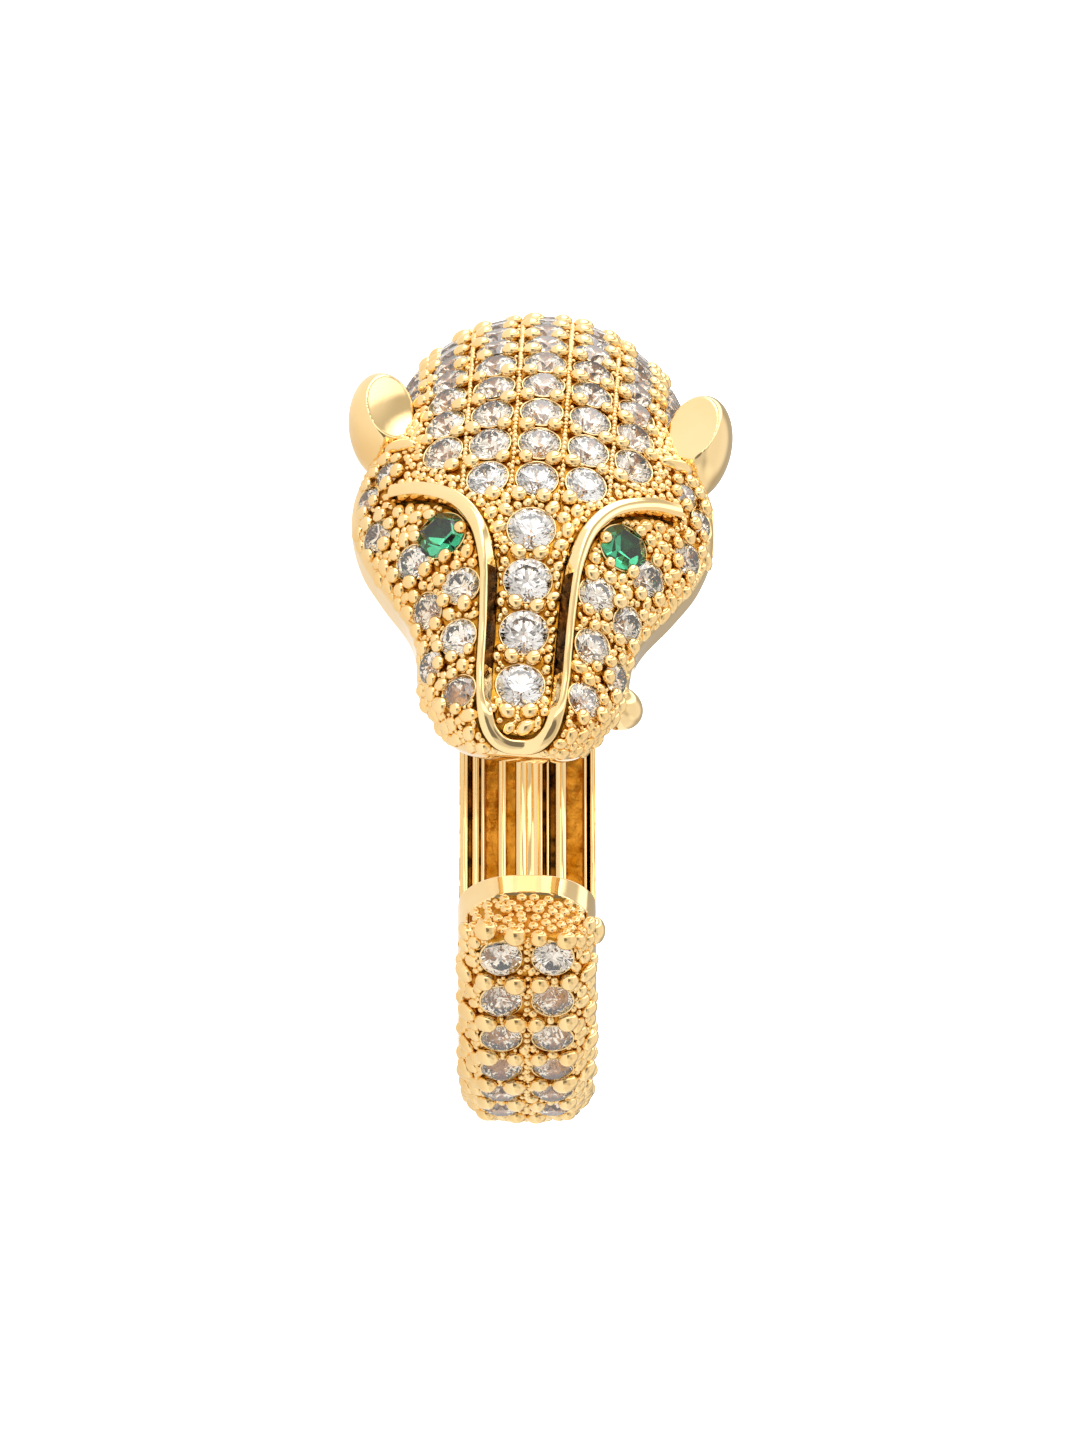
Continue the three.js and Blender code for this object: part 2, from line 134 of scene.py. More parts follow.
BAND = np.array([
    (108, 10.3, 9.3, 1.95, 0.1, 2.0),
    (122, 10.6, 9.6, 2.0, 0.15, 2.1),
    (136, 10.85, 10.0, BAND_HALF_WIDTH, 0.2, 2.25),
    (150, 10.92, 10.25, BAND_HALF_WIDTH, 0.2, 2.4),
    (180, 10.9, 10.3, BAND_HALF_WIDTH, 0.2, 2.4),
    (235, 10.95, 10.3, BAND_HALF_WIDTH, 0.2, 2.4),
    (255, 11.35, 10.3, BAND_HALF_WIDTH, 0.4, 2.4),
    (270, 11.9, 10.3, 2.05, 0.7, 2.2),
    (285, CROWN_RADIUS, 10.3, 2.05, 0.8, 2.2),
    (327, CROWN_RADIUS, 10.3, 2.05, 0.8, 2.2),
    (330, 11.75, 10.3, 2.0, 0.8, 2.2),
    (331.5, 11.35, 10.2, 1.75, 0.8, 2.2),
])


def read(table, deg):
    """Every column of a section table at these angles, on a smooth curve through the rows."""
    at = np.clip(np.asarray(deg, float), table[0, 0], table[-1, 0])
    i = np.clip(np.searchsorted(table[:, 0], at, side="left") - 1, 0, len(table) - 2)
    rows = np.arange(len(table))
    before, after = np.maximum(rows - 1, 0), np.minimum(rows + 1, len(table) - 1)
    slope = (table[after] - table[before]) / (table[after, :1] - table[before, :1])
    span = (table[i + 1, 0] - table[i, 0])[..., None]
    t = (at - table[i, 0])[..., None] / span
    ease = t * t * (3 - 2 * t)
    level = table[i] * (1 - ease) + table[i + 1] * ease
    row = level + span * t * (1 - t) * ((1 - t) * slope[i] - t * slope[i + 1])
    return dict(zip(COLUMNS, np.moveaxis(row, -1, 0)))


def slice_at(table, deg):
    """The columns of one slice as plain numbers."""
    return {column: float(value) for column, value in read(table, deg).items()}


def surface_radius(table, deg, across):
    row = read(table, deg)
    x = np.clip((np.abs(across) - row["flat"]) / (row["half"] - row["flat"]), 0, 1)
    return row["side"] + (row["mid"] - row["side"]) * (1 - x ** row["power"]) ** (1 / row["power"])


def surface_point(table, deg, across):
    return polar(across, surface_radius(table, deg, across), deg)


print("sections:", len(HEAD), "of the head,", len(BAND), "of the band")

# %% [markdown]
# ## Standing on the surface
# Stones, prongs and beads all stand on these forms, so each needs a little frame of its own: an origin on
# the surface, Z straight out of it and Y on around the ring. The head is then rolled a little on the band,
# as it is on the casting, so what stands on the head is placed through its roll and shift as well.

# %% Frames on the surface
HEAD_ROLL = -4.0  # degrees
HEAD_SHIFT = -0.2  # mm
head_to_ring = Matrix.Translation((HEAD_SHIFT, 0, 0)) @ Matrix.Rotation(math.radians(HEAD_ROLL), 4, "Z")


def surface_frame(table, deg, across):
    """A 4 by 4 frame: X across, Y on around the ring, Z out, with its origin on the surface."""
    step = 0.05
    along = surface_point(table, deg + step, across) - surface_point(table, deg - step, across)
    side = surface_point(table, deg, across + step) - surface_point(table, deg, across - step)
    out = Vector(np.cross(side, along)).normalized()
    right = Vector(along).normalized().cross(out).normalized()
    placed = Matrix((right, out.cross(right), out)).transposed().to_4x4()
    placed.translation = Vector(surface_point(table, deg, across))
    return placed


def head_angle(across, up):
    """The angle at which the face reaches this height, in the head's frame."""
    low, high = HEAD[0, 0], 90.0
    for _ in range(40):
        middle = (low + high) / 2
        if surface_point(HEAD, middle, across)[1] < up:
            low = middle
        else:
            high = middle
    return (low + high) / 2


def on_head(deg, across):
    return head_to_ring @ surface_frame(HEAD, deg, across)


def on_face(across, up):
    return on_head(head_angle(across, up), across)


def on_band(deg, across):
    return surface_frame(BAND, deg, across)


# %% [markdown]
# ## Charting the stones
# The setter's chart: two green eyes, four white stones down the nose, a grid over the crown, nine stones on
# each cheek and two columns on the tail. Places on the face are given across and up, in millimetres.

# %% The setter's chart
STONE_SINK = 0.08
EYE = {"across": 2.7, "up": 5.27, "diameter": 1.5}
NOSE = {"across": -0.06, "top": 5.65, "pitch": 1.535, "count": 4, "diameter": 1.4}
CROWN = {"first": 36.6, "pitch": 6.6, "rows": 10, "columns": (0, 1.47, 2.85, 3.9), "diameter": 1.22}
OUTER_COLUMN, OUTER_COLUMN_FIRST_ROW = len(CROWN["columns"]) - 1, 4
CHEEK = (
    (4.45, 7.0, 0.9), (4.98, 6.18, 0.9), (4.63, 5.1, 1.1), (3.5, 4.4, 1.15), (2.03, 3.82, 1.15),
    (2.98, 3.0, 1.1), (2.0, 2.3, 1.15), (2.78, 1.42, 1.05), (1.87, 0.72, 1.1),
)
TAIL = {"across": 0.76, "first": 324.2, "pitch": -8.0, "rows": 6, "diameter": 1.2}
SIDES = {"left": -1, "right": 1}

stones = []  # (node or None, kind, diameter, frame in the ring frame)
for word, side in SIDES.items():
    stones.append((f"eye_{word}", "green", EYE["diameter"], on_face(side * EYE["across"], EYE["up"])))
    for i, (across, up, diameter) in enumerate(CHEEK):
        stones.append((f"cheek_{word}_{i + 1}", "white", diameter, on_face(side * across, up)))
    for i in range(TAIL["rows"]):
        place = on_band(TAIL["first"] + i * TAIL["pitch"], side * TAIL["across"])
        stones.append((f"tail_{word}_{i + 1}", "white", TAIL["diameter"], place))
for i in range(NOSE["count"]):
    place = on_face(NOSE["across"], NOSE["top"] - i * NOSE["pitch"])
    stones.append((f"nose_stone_{i + 1}", "white", NOSE["diameter"], place))
for row in range(CROWN["rows"]):
    for column, across in enumerate(CROWN["columns"]):
        if (row == 0 and column > 1) or (column == OUTER_COLUMN and row < OUTER_COLUMN_FIRST_ROW):
            continue
        for side in (-1, 1) if across else (1,):
            name = f"brow_stone_{2 + side * column}" if row == 0 else None
            place = on_head(CROWN["first"] + row * CROWN["pitch"], side * across)
            stones.append((name, "white", CROWN["diameter"], place))
print(len(stones), "stones,", sum(s[0] is not None for s in stones), "of them main stones")

# %% [markdown]
# ## Workshop helpers
# `press` adds Blender's grid primitive and carries each of its vertices to its place on a form, which is how
# a sheet of wax is pressed over a former. It then joins the sheet's seam and closes its ends. `stamp` sets
# modelled shapes down many times and keeps them as one mesh, as beads raised on one casting are.

# %% Helpers for meshes
SEAM_GAP = 1e-7  # metres within which the two sides of a seam are joined


def deselect():
    for item in bpy.context.selected_objects:
        item.select_set(False)


def pick(piece):
    """Makes a piece the one that the next operators act on."""
    deselect()
    piece.select_set(True)
    bpy.context.view_layer.objects.active = piece


def apply(matrix, points):
    m = np.array(matrix)
    return points @ m[:3, :3].T + m[:3, 3]


def press(name, places, finishes):
    """A closed sheet through places, rows by columns by 3 in millimetres, with a finish for each face."""
    places = np.concatenate([places, places[:, :1]], axis=1)
    rows, columns = places.shape[:2]
    deselect()
    bpy.ops.mesh.primitive_grid_add(x_subdivisions=columns - 1, y_subdivisions=rows - 1, size=1)
    piece = bpy.context.object
    piece.name = piece.data.name = name
    piece.data.vertices.foreach_set("co", apply(ring_to_world, places.reshape(-1, 3)).ravel())
    piece.data.polygons.foreach_set("material_index", finishes.astype(np.int32).ravel())
    seal(piece)
    return piece


def seal(piece):
    """Joins the grid's seam, closes its two ends and turns all faces outwards."""
    pick(piece)
    bpy.ops.object.mode_set(mode="EDIT")
    bpy.ops.mesh.select_all(action="SELECT")
    bpy.ops.mesh.remove_doubles(threshold=SEAM_GAP)
    bpy.ops.mesh.select_all(action="DESELECT")
    bpy.ops.mesh.select_non_manifold()
    bpy.ops.mesh.edge_face_add()
    bpy.ops.mesh.select_all(action="SELECT")
    bpy.ops.mesh.normals_make_consistent(inside=False)
    bpy.ops.object.mode_set(mode="OBJECT")


def new_ball(name, matrix, subdivisions):
    deselect()
    bpy.ops.mesh.primitive_ico_sphere_add(subdivisions=subdivisions, radius=1)
    ball = bpy.context.object
    ball.name = ball.data.name = name
    ball.data.transform(matrix)
    return ball


def take_template(piece):
    """The vertices and faces of a modelled shape, which is then removed."""
    points = np.array([v.co for v in piece.data.vertices])
    faces = [tuple(p.vertices) for p in piece.data.polygons]
    bpy.data.objects.remove(piece)
    return points, faces


def stamp(name, prints):
    """One mesh of templates, in millimetres, each set down at its frame of the ring frame."""
    every, faces, count = [], [], 0
    for (points, shape), placed in prints:
        every.append(apply(placed, points))
        faces += [tuple(v + count for v in face) for face in shape]
        count += len(points)
    mesh = bpy.data.meshes.new(name)
    mesh.from_pydata(apply(ring_to_world, np.concatenate(every)).tolist(), [], faces)
    piece = bpy.data.objects.new(name, mesh)
    bpy.context.collection.objects.link(piece)
    return piece


def copies(name, template, frames):
    return stamp(name, [(template, placed) for placed in frames])


def finish(piece, materials, nodes=(), smooth=True, crease=None):
    """Gives a piece its materials, its shading and its place in the frame."""
    indices = np.zeros(len(piece.data.polygons), dtype=np.int32)
    piece.data.polygons.foreach_get("material_index", indices)
    piece.data.materials.clear()
    for material in materials:
        piece.data.materials.append(material)
    piece.data.polygons.foreach_set("material_index", indices)
    piece.data.polygons.foreach_set("use_smooth", [smooth] * len(piece.data.polygons))
    if crease:
        pick(piece)
        bpy.ops.object.shade_smooth_by_angle(angle=math.radians(crease))
    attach(piece, BODY)
    if nodes:
        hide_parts(*nodes)
    triangles = sum(len(p.vertices) - 2 for p in piece.data.polygons)
    print(f"{piece.name}: {triangles} triangles")


# %% [markdown]
# ## Materials
# No real surface is the same all over, so every finish here drifts a little in tint and in gloss. `clouded`
# sets up that drift with a noise in millimetres, and `uneven` lays fine bumps over it. A painted texture
# would need an unwrapped surface. These patterns go by the place in space, so they need none.

# %% Material helpers


def linear(code):
    """Linear light from an sRGB hex colour."""
    parts = [int(code[i : i + 2], 16) / 255 for i in (1, 3, 5)]
    return [c / 12.92 if c <= 0.04045 else ((c + 0.055) / 1.055) ** 2.4 for c in parts] + [1.0]


def add(tree, kind, values=None, links=None, **settings):
    """A node with its settings, its input values and the outputs linked to its inputs."""
    node = tree.nodes.new(kind)
    for key, value in settings.items():
        setattr(node, key, value)
    for key, value in (values or {}).items():
        node.inputs[key].default_value = value
    for key, output in (links or {}).items():
        tree.links.new(output, node.inputs[key])
    return node


def new_material(name):
    material = bpy.data.materials.new(name)
    material.use_nodes = True
    return material, material.node_tree, material.node_tree.nodes["Principled BSDF"]


def clouded(name, size, detail, spans, tints, hazes, metallic=1.0):
    """A material whose tint and roughness drift from one value to the other in clouds.

    size is in millimetres, and spans gives the two levels of the cloud at which each tint is full.
    """
    material, tree, shader = new_material(name)
    place = add(tree, "ShaderNodeTexCoord").outputs["Object"]
    cloud = add(tree, "ShaderNodeTexNoise", {"Scale": 1 / (size * MM), "Detail": detail}, {"Vector": place})
    tone = add(tree, "ShaderNodeValToRGB", links={"Fac": cloud.outputs["Fac"]})
    for element, position, tint in zip(tone.color_ramp.elements, spans, tints):
        element.position, element.color = position, linear(tint)
    low, high = hazes
    haze = add(tree, "ShaderNodeMapRange", {"To Min": low, "To Max": high}, {"Value": cloud.outputs["Fac"]})
    shader.inputs["Metallic"].default_value = metallic
    tree.links.new(tone.outputs["Color"], shader.inputs["Base Color"])
    tree.links.new(haze.outputs["Result"], shader.inputs["Roughness"])
    return material, tree, shader, place


def uneven(tree, shader, place, layers):
    """Bumps laid one over the other: size and height in millimetres, detail and strength of each."""
    under = {}
    for size, height, detail, strength in layers:
        swell = add(tree, "ShaderNodeTexNoise", {"Scale": 1 / (size * MM), "Detail": detail},
                    {"Vector": place})
        bump = add(tree, "ShaderNodeBump", {"Strength": strength, "Distance": height * MM},
                   {"Height": swell.outputs["Fac"], **under})
        under = {"Normal": bump.outputs["Normal"]}
    tree.links.new(under["Normal"], shader.inputs["Normal"])


# %% [markdown]
# The metal is cast brass, polished and plated with yellow gold. Plating copies the polish under it, so its
# gloss is high and its colour is even: pale where it mirrors the studio once, and a deep orange in the
# crevices, where light bounces from gold to gold. Fine ripples left by the polishing wheel bend the
# reflections a little.

# %% Polished gold-plated brass
WHEEL_RIPPLE = 0.9  # mm between the soft ripples of the polishing wheel
PIT_SIZE = 0.12  # mm between the fine casting pits under the plating


def plated_gold(name, tints, hazes, waviness, pitting):
    """Gold plate: two tints of the plating, the range of its gloss, and how uneven its skin is."""
    material, tree, shader, place = clouded(name, 2.5, 3.0, (0.35, 0.65), tints, hazes)
    uneven(tree, shader, place, ((WHEEL_RIPPLE, 0.02, 2.0, waviness), (PIT_SIZE, 0.01, 2.0, pitting)))
    return material


gold = plated_gold("polished_gold_plated_brass", ("#F8D79A", "#FBDFA8"), (0.04, 0.11), 0.25, 0.05)
bead_gold = plated_gold("burnished_gold_plated_brass", ("#F7D291", "#FADDA5"), (0.08, 0.16), 0.3, 0.2)
print(gold.name, bead_gold.name)

# %% [markdown]
# Inside the band the wheel can't reach, nor in the sunk field between the stones and on the tail's end. There
# the plating lies on the skin of the casting, which is matt and grainy. Its dark orange tint is painted shade:
# it darkens these hollows as shade would.

# %% Rough-cast gold-plated brass with painted shade
CAST_GRAIN = 0.09  # mm between the grains of the mould


def rough_gold():
    material, tree, shader, place = clouded(
        "rough_cast_brass_with_painted_shade", 0.8, 4.0, (0.35, 0.7), ("#A86C12", "#E2A742"), (0.22, 0.42))
    uneven(tree, shader, place, ((CAST_GRAIN, 0.03, 3.0, 0.6),))
    return material


# Its dark orange tint is painted shade for the sunk field, the channel floors and the tail's end.
field_gold_painted_shade = rough_gold()
print(field_gold_painted_shade.name)

# %% [markdown]
# Beside the nose the rail has a narrow bevel, painted almost black with a dull gloss as a painted reflection.
# The narrow grooves inside the band and the gutters along the rail's foot are painted dark in the same way, as
# painted shade.

# %% Brass painted dark for shade and reflection
# Painted shade and painted reflection: an almost black gold for grooves, gutters and the nose bevel.
painted_shade_and_reflection_gold, *_ = clouded(
    "gold_plated_brass_painted_dark_for_shade_and_reflection", 0.5, 3.0, (0.4, 0.75), ("#2A1803", "#8A5A17"), (0.15, 0.3))
print(painted_shade_and_reflection_gold.name)

# %% [markdown]
# The white stones are cubic zirconia: a clear crystal that bends light more than glass does, cut flat facet by
# flat facet and polished. The ones that are seen at a slant have a warm tint that is a painted reflection of
# the gold of their cups. The eyes are green stones. A faint variation in the tint keeps a field of them from
# looking like one sheet.

# %% Cut stones
ZIRCONIA_IOR = 2.3  # a little more than zirconia's, so that stones seen at a slant don't turn see-through
GREEN_STONE_IOR = 1.7


def cut_stone(name, tints, ior):
    material, _, shader, _ = clouded(name, 1.5, 1.0, (0.35, 0.65), tints, (0.0, 0.02), metallic=0.0)
    shader.inputs["Transmission Weight"].default_value = 1.0
    shader.inputs["IOR"].default_value = ior
    return material


white_stone = cut_stone("cut_cubic_zirconia", ("#FFFFFF", "#F7F1EA"), ZIRCONIA_IOR)
# Its warm tint is a painted reflection of the gold cups around the stones.
stone_with_painted_gold_reflection = cut_stone("cut_cubic_zirconia_with_painted_gold_reflection", ("#FFF7EA", "#F6E4C8"), ZIRCONIA_IOR)
green_stone = cut_stone("cut_green_stone", ("#55CF9B", "#36AE7C"), GREEN_STONE_IOR)
print(white_stone.name, stone_with_painted_gold_reflection.name, green_stone.name)

# %% [markdown]
# ## Cutting a brilliant
# A cutter starts from a plain round blank and grinds one facet after another. Bisect does the same here:
# each facet is a plane that takes away what lies outside it. The facets of a round brilliant are the table,
# eight kites, eight stars and sixteen halves above the girdle, and eight mains and sixteen halves below.
# The green stones are simpler: a table with six broad mains above and five below, which show as a few
# large patches of colour. Each plane is set by three points, for a stone one millimetre across.

# %% The facets' planes
GIRDLE_RADIUS, GIRDLE_HEIGHT = 0.5, 0.03
TABLE_RADIUS, STAR_RADIUS, KEEL_RADIUS = 0.285, 0.40, 0.12
CROWN_ANGLE, PAVILION_ANGLE, SIMPLE_PAVILION_ANGLE = 34.5, 42.0, 38.5


def spot(radius, deg, height):
    turn = math.radians(deg)
    return Vector((radius * math.cos(turn), radius * math.sin(turn), height))


def kite_height(radius, off=0.0):
    """The height of a crown main at a radius, off degrees from the middle of it."""
    reach = radius * math.cos(math.radians(off))
    return GIRDLE_HEIGHT + (GIRDLE_RADIUS - reach) * math.tan(math.radians(CROWN_ANGLE))


def keel_height(radius, off=0.0):
    reach = radius * math.cos(math.radians(off))
    return -(GIRDLE_RADIUS - reach) * math.tan(math.radians(PAVILION_ANGLE))


def main_facet(deg, from_height, radius, height):
    """A facet that leans in from the girdle to a smaller radius at another height."""
    edge, turn = spot(GIRDLE_RADIUS, deg, from_height), math.radians(deg)
    return [edge, spot(radius, deg, height), edge + Vector((-math.sin(turn), math.cos(turn), 0))]


def simple_planes():
    """Three points for each facet of a simple stone."""
    top = kite_height(TABLE_RADIUS)
    planes = [[spot(TABLE_RADIUS, deg, top) for deg in (0, 120, 240)]]
    planes += [main_facet(60 * i, GIRDLE_HEIGHT, TABLE_RADIUS, top) for i in range(6)]
    depth = -(GIRDLE_RADIUS - KEEL_RADIUS) * math.tan(math.radians(SIMPLE_PAVILION_ANGLE))
    planes += [main_facet(72 * i + 270, 0, KEEL_RADIUS, depth) for i in range(5)]
    return planes


def facet_planes():
    """Three points for each facet of a round brilliant."""
    top = kite_height(TABLE_RADIUS)
    planes = [[spot(TABLE_RADIUS, deg, top) for deg in (0, 120, 240)]]
    for deg in range(0, 360, 45):
        planes.append(main_facet(deg, GIRDLE_HEIGHT, TABLE_RADIUS, top))
        star = spot(STAR_RADIUS, deg + 22.5, kite_height(STAR_RADIUS, 22.5))
        planes.append([spot(TABLE_RADIUS, deg, top), spot(TABLE_RADIUS, deg + 45, top), star])
        planes.append(main_facet(deg, 0, KEEL_RADIUS, keel_height(KEEL_RADIUS)))
        keel = spot(KEEL_RADIUS, deg + 22.5, keel_height(KEEL_RADIUS, 22.5))
        for near in (deg, deg + 45):
            rim = [spot(GIRDLE_RADIUS, near, 0), spot(GIRDLE_RADIUS, deg + 22.5, 0)]
            planes.append([*rim, keel])
            planes.append([p + Vector((0, 0, GIRDLE_HEIGHT)) for p in rim] + [star])
    return planes


print(len(facet_planes()), "facets of a brilliant,", len(simple_planes()), "of a green stone")

# %% [markdown]
# Each kind of stone is cut once, as a master. Blender has an add-on with ready-made gems, but cutting one
# shows where each facet comes from.

# %% Cut the master stones
BLANK = {"vertices": 32, "radius": GIRDLE_RADIUS + 0.002, "depth": 1.2}
BROAD_FACE = 1e-4  # area over which a face is counted as a facet


def cut(planes):
    deselect()
    bpy.ops.mesh.primitive_cylinder_add(**BLANK, end_fill_type="NGON")
    piece = bpy.context.object
    bpy.ops.object.mode_set(mode="EDIT")
    for a, b, c in planes:
        normal = (b - a).cross(c - a).normalized()
        if normal.dot(a) < 0:
            normal.negate()
        bpy.ops.mesh.select_all(action="SELECT")
        bpy.ops.mesh.bisect(plane_co=a, plane_no=normal, use_fill=True, clear_outer=True, threshold=1e-5)
    bpy.ops.mesh.select_all(action="SELECT")
    bpy.ops.mesh.remove_doubles(threshold=0.002)
    bpy.ops.mesh.normals_make_consistent(inside=False)
    bpy.ops.object.mode_set(mode="OBJECT")
    return piece


templates = {}
for kind, planes in (("white", facet_planes()), ("green", simple_planes())):
    master = cut(planes)
    broad = sum(1 for p in master.data.polygons if p.area > BROAD_FACE)
    print("the", kind, "master stone has", len(master.data.polygons), "faces,", broad, "of them broad")
    templates[kind] = take_template(master)

# %% [markdown]
# Every stone is a copy of the master at its own size, sunk a little into the metal and turned a little on
# its axis, because a setter drops stones in as they come. Main stones replace their plain solids. The
# crown's small stones are one mesh, and the solid that they were fused to is replaced with the head's.

# %% Set the stones
rng = np.random.default_rng(7)
TIP = 2.5  # degrees by which a stone usually tips
GREEN_TURN = 0.2  # radians by which the eyes are turned on their axes


def stone_frame(diameter, placed, kind="white"):
    turn = Matrix.Rotation(rng.uniform(0, math.pi / 4) if kind == "white" else GREEN_TURN, 4, "Z")
    tip = Matrix.Rotation(math.radians(rng.normal(0, TIP)), 4, "X")
    return placed @ Matrix.Translation((0, 0, -STONE_SINK)) @ tip @ turn @ Matrix.Scale(diameter, 4)


def look_of(node, kind):
    """Stones that face straight out of the opening are clear, the others have a painted reflection of their
    gold cups in their tint.
    """
    if kind == "green":
        return green_stone
    return white_stone if node.startswith(("nose", "brow")) else stone_with_painted_gold_reflection


small = []
for node, kind, diameter, placed in stones:
    if node is None:
        small.append(stone_frame(diameter, placed))
        continue
    piece = copies(f"{node}_cut", templates[kind], [stone_frame(diameter, placed, kind)])
    finish(piece, [look_of(node, kind)], [node], smooth=False)
# The crown's stones get the painted gold reflection of their cups.
finish(copies("crown_stones_cut", templates["white"], small), [stone_with_painted_gold_reflection], smooth=False)

# %% [markdown]
# ## The head
# The head is pressed from a closed sheet over its slices. Rows are spaced evenly along the profile, and the
# points of each row evenly around its outline, so that the faces are small and even wherever a stone's seat
# is cut. Sculpting could give the same form, but a sheet over measured slices keeps close to the solid.

# %% Even rows and outlines
MIDDLE_STEPS = 4000  # in which the middle of a form is measured
WALL_STEPS, ARCH_STEPS = 40, 600  # in which each side and the arch of a slice are measured


def run_along(line, power=1.0):
    """The length of a line up to each of its points, with each step raised to a power."""
    steps = np.linalg.norm(np.diff(line, axis=0), axis=1) ** power
    return np.concatenate([[0], np.cumsum(steps)])


def even_angles(table, cell):
    """Angles at even steps along the middle of the form."""
    fine = np.linspace(table[0, 0], table[-1, 0], MIDDLE_STEPS)
    run = run_along(surface_point(table, fine, np.zeros_like(fine)))
    return np.interp(np.linspace(0, run[-1], round(run[-1] / cell) + 1), run, fine)


def outline(row, inner, count):
    """Across and radius at even steps around one slice, from the right inner edge over the top."""
    turn = np.linspace(0, math.pi, ARCH_STEPS)
    reach = np.abs(np.cos(turn)) ** (2 / row["power"]) * (row["half"] - row["flat"]) + row["flat"]
    reach = np.where(np.abs(np.cos(turn)) < 1e-9, 0, reach * np.sign(np.cos(turn)))
    rise = np.maximum(np.sin(turn), 0) ** (2 / row["power"]) * (row["mid"] - row["side"]) + row["side"]
    wall = np.linspace(inner, row["side"], WALL_STEPS, endpoint=False)
    x = np.concatenate([np.full(WALL_STEPS, row["half"]), reach, np.full(WALL_STEPS, -row["half"])])
    r = np.concatenate([wall, rise, wall[::-1]])
    run = np.concatenate([[0], np.cumsum(np.hypot(np.diff(x), np.diff(r)))])
    even = np.linspace(0, run[-1], count)
    return np.interp(even, run, x), np.interp(even, run, r)


def sheet_normals(places):
    """The way out of the metal at each point of a sheet."""
    out = np.cross(np.gradient(places, axis=0), np.gradient(places, axis=1))
    return out / np.maximum(np.linalg.norm(out, axis=-1, keepdims=True), 1e-12)


HEAD_CELL = 0.085  # mm between rows
head_angles = even_angles(HEAD, HEAD_CELL)
print(len(head_angles), "rows of the head, from", HEAD[0, 0], "to", HEAD[-1, 0], "degrees")

# %% [markdown]
# ## The setter's field
# Where the stones go, the metal is sunk a little below a smooth, polished rim. Each stone gets a seat, a
# cone that follows its underside with a little air between. The skin between the seats keeps the slight
# lumps of the casting. All this moves the sheets' own points. Booleans with about a hundred cones could cut
# the seats too, but they leave long, thin faces that show in a polish.

# %% Seats, field and cast skin
SEAT_AIR = 0.035
SEAT_EDGE = 0.1  # mm over which a seat's edge is softened
SEAT_REACH = 0.9  # mm above and below a stone within which its seat is cut
PAVILION_SLOPE = math.tan(math.radians(PAVILION_ANGLE))
FIELD_SINK = 0.09
FADE_ACROSS, FADE_AROUND = 0.12, 0.6  # mm and degrees over which the field rises to its rim
# The rough part of the field is tinted darker with painted shade.
FIELD_EDGE = 0.5  # share of the field from which the metal is rough
SKIN_HEIGHT, SKIN_LUMPS = 0.03, (0.3, 0.15)  # mm of the cast skin's lumps, and between them

seats = {"head": [], "tail": []}  # diameter and frame of the stones on each form
for node, _, diameter, placed in stones:
    seats["tail" if (node or "").startswith("tail") else "head"].append((diameter, placed))


def ramp(value, start, full):
    return np.clip((value - start) / (full - start), 0, 1)


def seat_depth(points, chosen):
    """How far each point is cut down for the stones' seats."""
    depth = np.zeros(points.shape[:-1])
    for diameter, placed in chosen:
        local = apply(placed.inverted(), points)
        away = np.hypot(local[..., 0], local[..., 1])
        radius = diameter / 2
        cone = STONE_SINK + SEAT_AIR + (radius - away) * PAVILION_SLOPE
        edge = np.clip((radius + SEAT_EDGE / 2 - away) / SEAT_EDGE, 0, 1)
        seat = np.where(np.abs(local[..., 2]) < SEAT_REACH, np.maximum(cone, 0) * edge, 0)
        depth = np.maximum(depth, seat)
    return depth


def lumps(points, size, seed):
    """Smooth noise, with lumps of about this size in millimetres."""
    shift = Vector((seed, 2 * seed, 3 * seed))
    values = [noise.noise(Vector(p) / size + shift) for p in points.reshape(-1, 3)]
    return np.array(values).reshape(points.shape[:-1])


def field_share(table, angles, places, start, stop, rim):
    """1 where the stone setter worked, falling to 0 at the smooth rim around it."""
    half = read(table, angles)["half"][:, None]
    inside = ramp(half - np.abs(places[..., 0]), rim, rim + FADE_ACROSS)
    around = ramp(angles, start, start + FADE_AROUND) * ramp(-angles, -stop, FADE_AROUND - stop)
    return inside * around[:, None]


def work_field(places, out, field, chosen, seed):
    """A sheet with the field sunk, the seats cut and the lumps of the casting between them."""
    depth = np.maximum(seat_depth(places, chosen), FIELD_SINK * field)
    large, fine = SKIN_LUMPS
    skin = field * (SKIN_HEIGHT * lumps(places, large, seed) + SKIN_HEIGHT * lumps(places, fine, seed + 2))
    return places + out * (skin - depth)[..., None]


print({form: len(chosen) for form, chosen in seats.items()}, "seats")

# %% [markdown]
# The head sits rolled and shifted on the band. Along the neck both fade, so that its foot lies flush on the
# band behind. Its inside follows the finger hole. Where the band runs through it, the inside stands back a
# little, and under the foot it stands back behind the band's channels, so that they stay open.

# %% Head sheet
HEAD_POINTS, HOLE_POINTS = 190, 14  # around the outside and across the finger hole
HEAD_FIELD = {"start": -4.6, "stop": 101.0, "rim": 0.22}  # degrees, degrees and mm
NECK = (103.0, 136.0)  # degrees over which the roll and shift fade
STAND_BACK = ((0.05, 106.0, 109.0), (1.1, 131.0, 136.0))  # mm by which the inside stands back, added from, to


def onto_finger(points):
    """Draws points in or out to the finger hole's wall."""
    scale = FINGER_RADIUS / np.hypot(points[..., 1], points[..., 2])
    return points * np.stack([np.ones_like(scale), scale, scale], axis=-1)


def across_hole(outer, count):
    """Points that close each row along the finger hole, between its two ends."""
    steps = np.linspace(0, 1, count + 2)[1:-1, None]
    return onto_finger(outer[:, -1][:, None] * (1 - steps) + outer[:, 0][:, None] * steps)


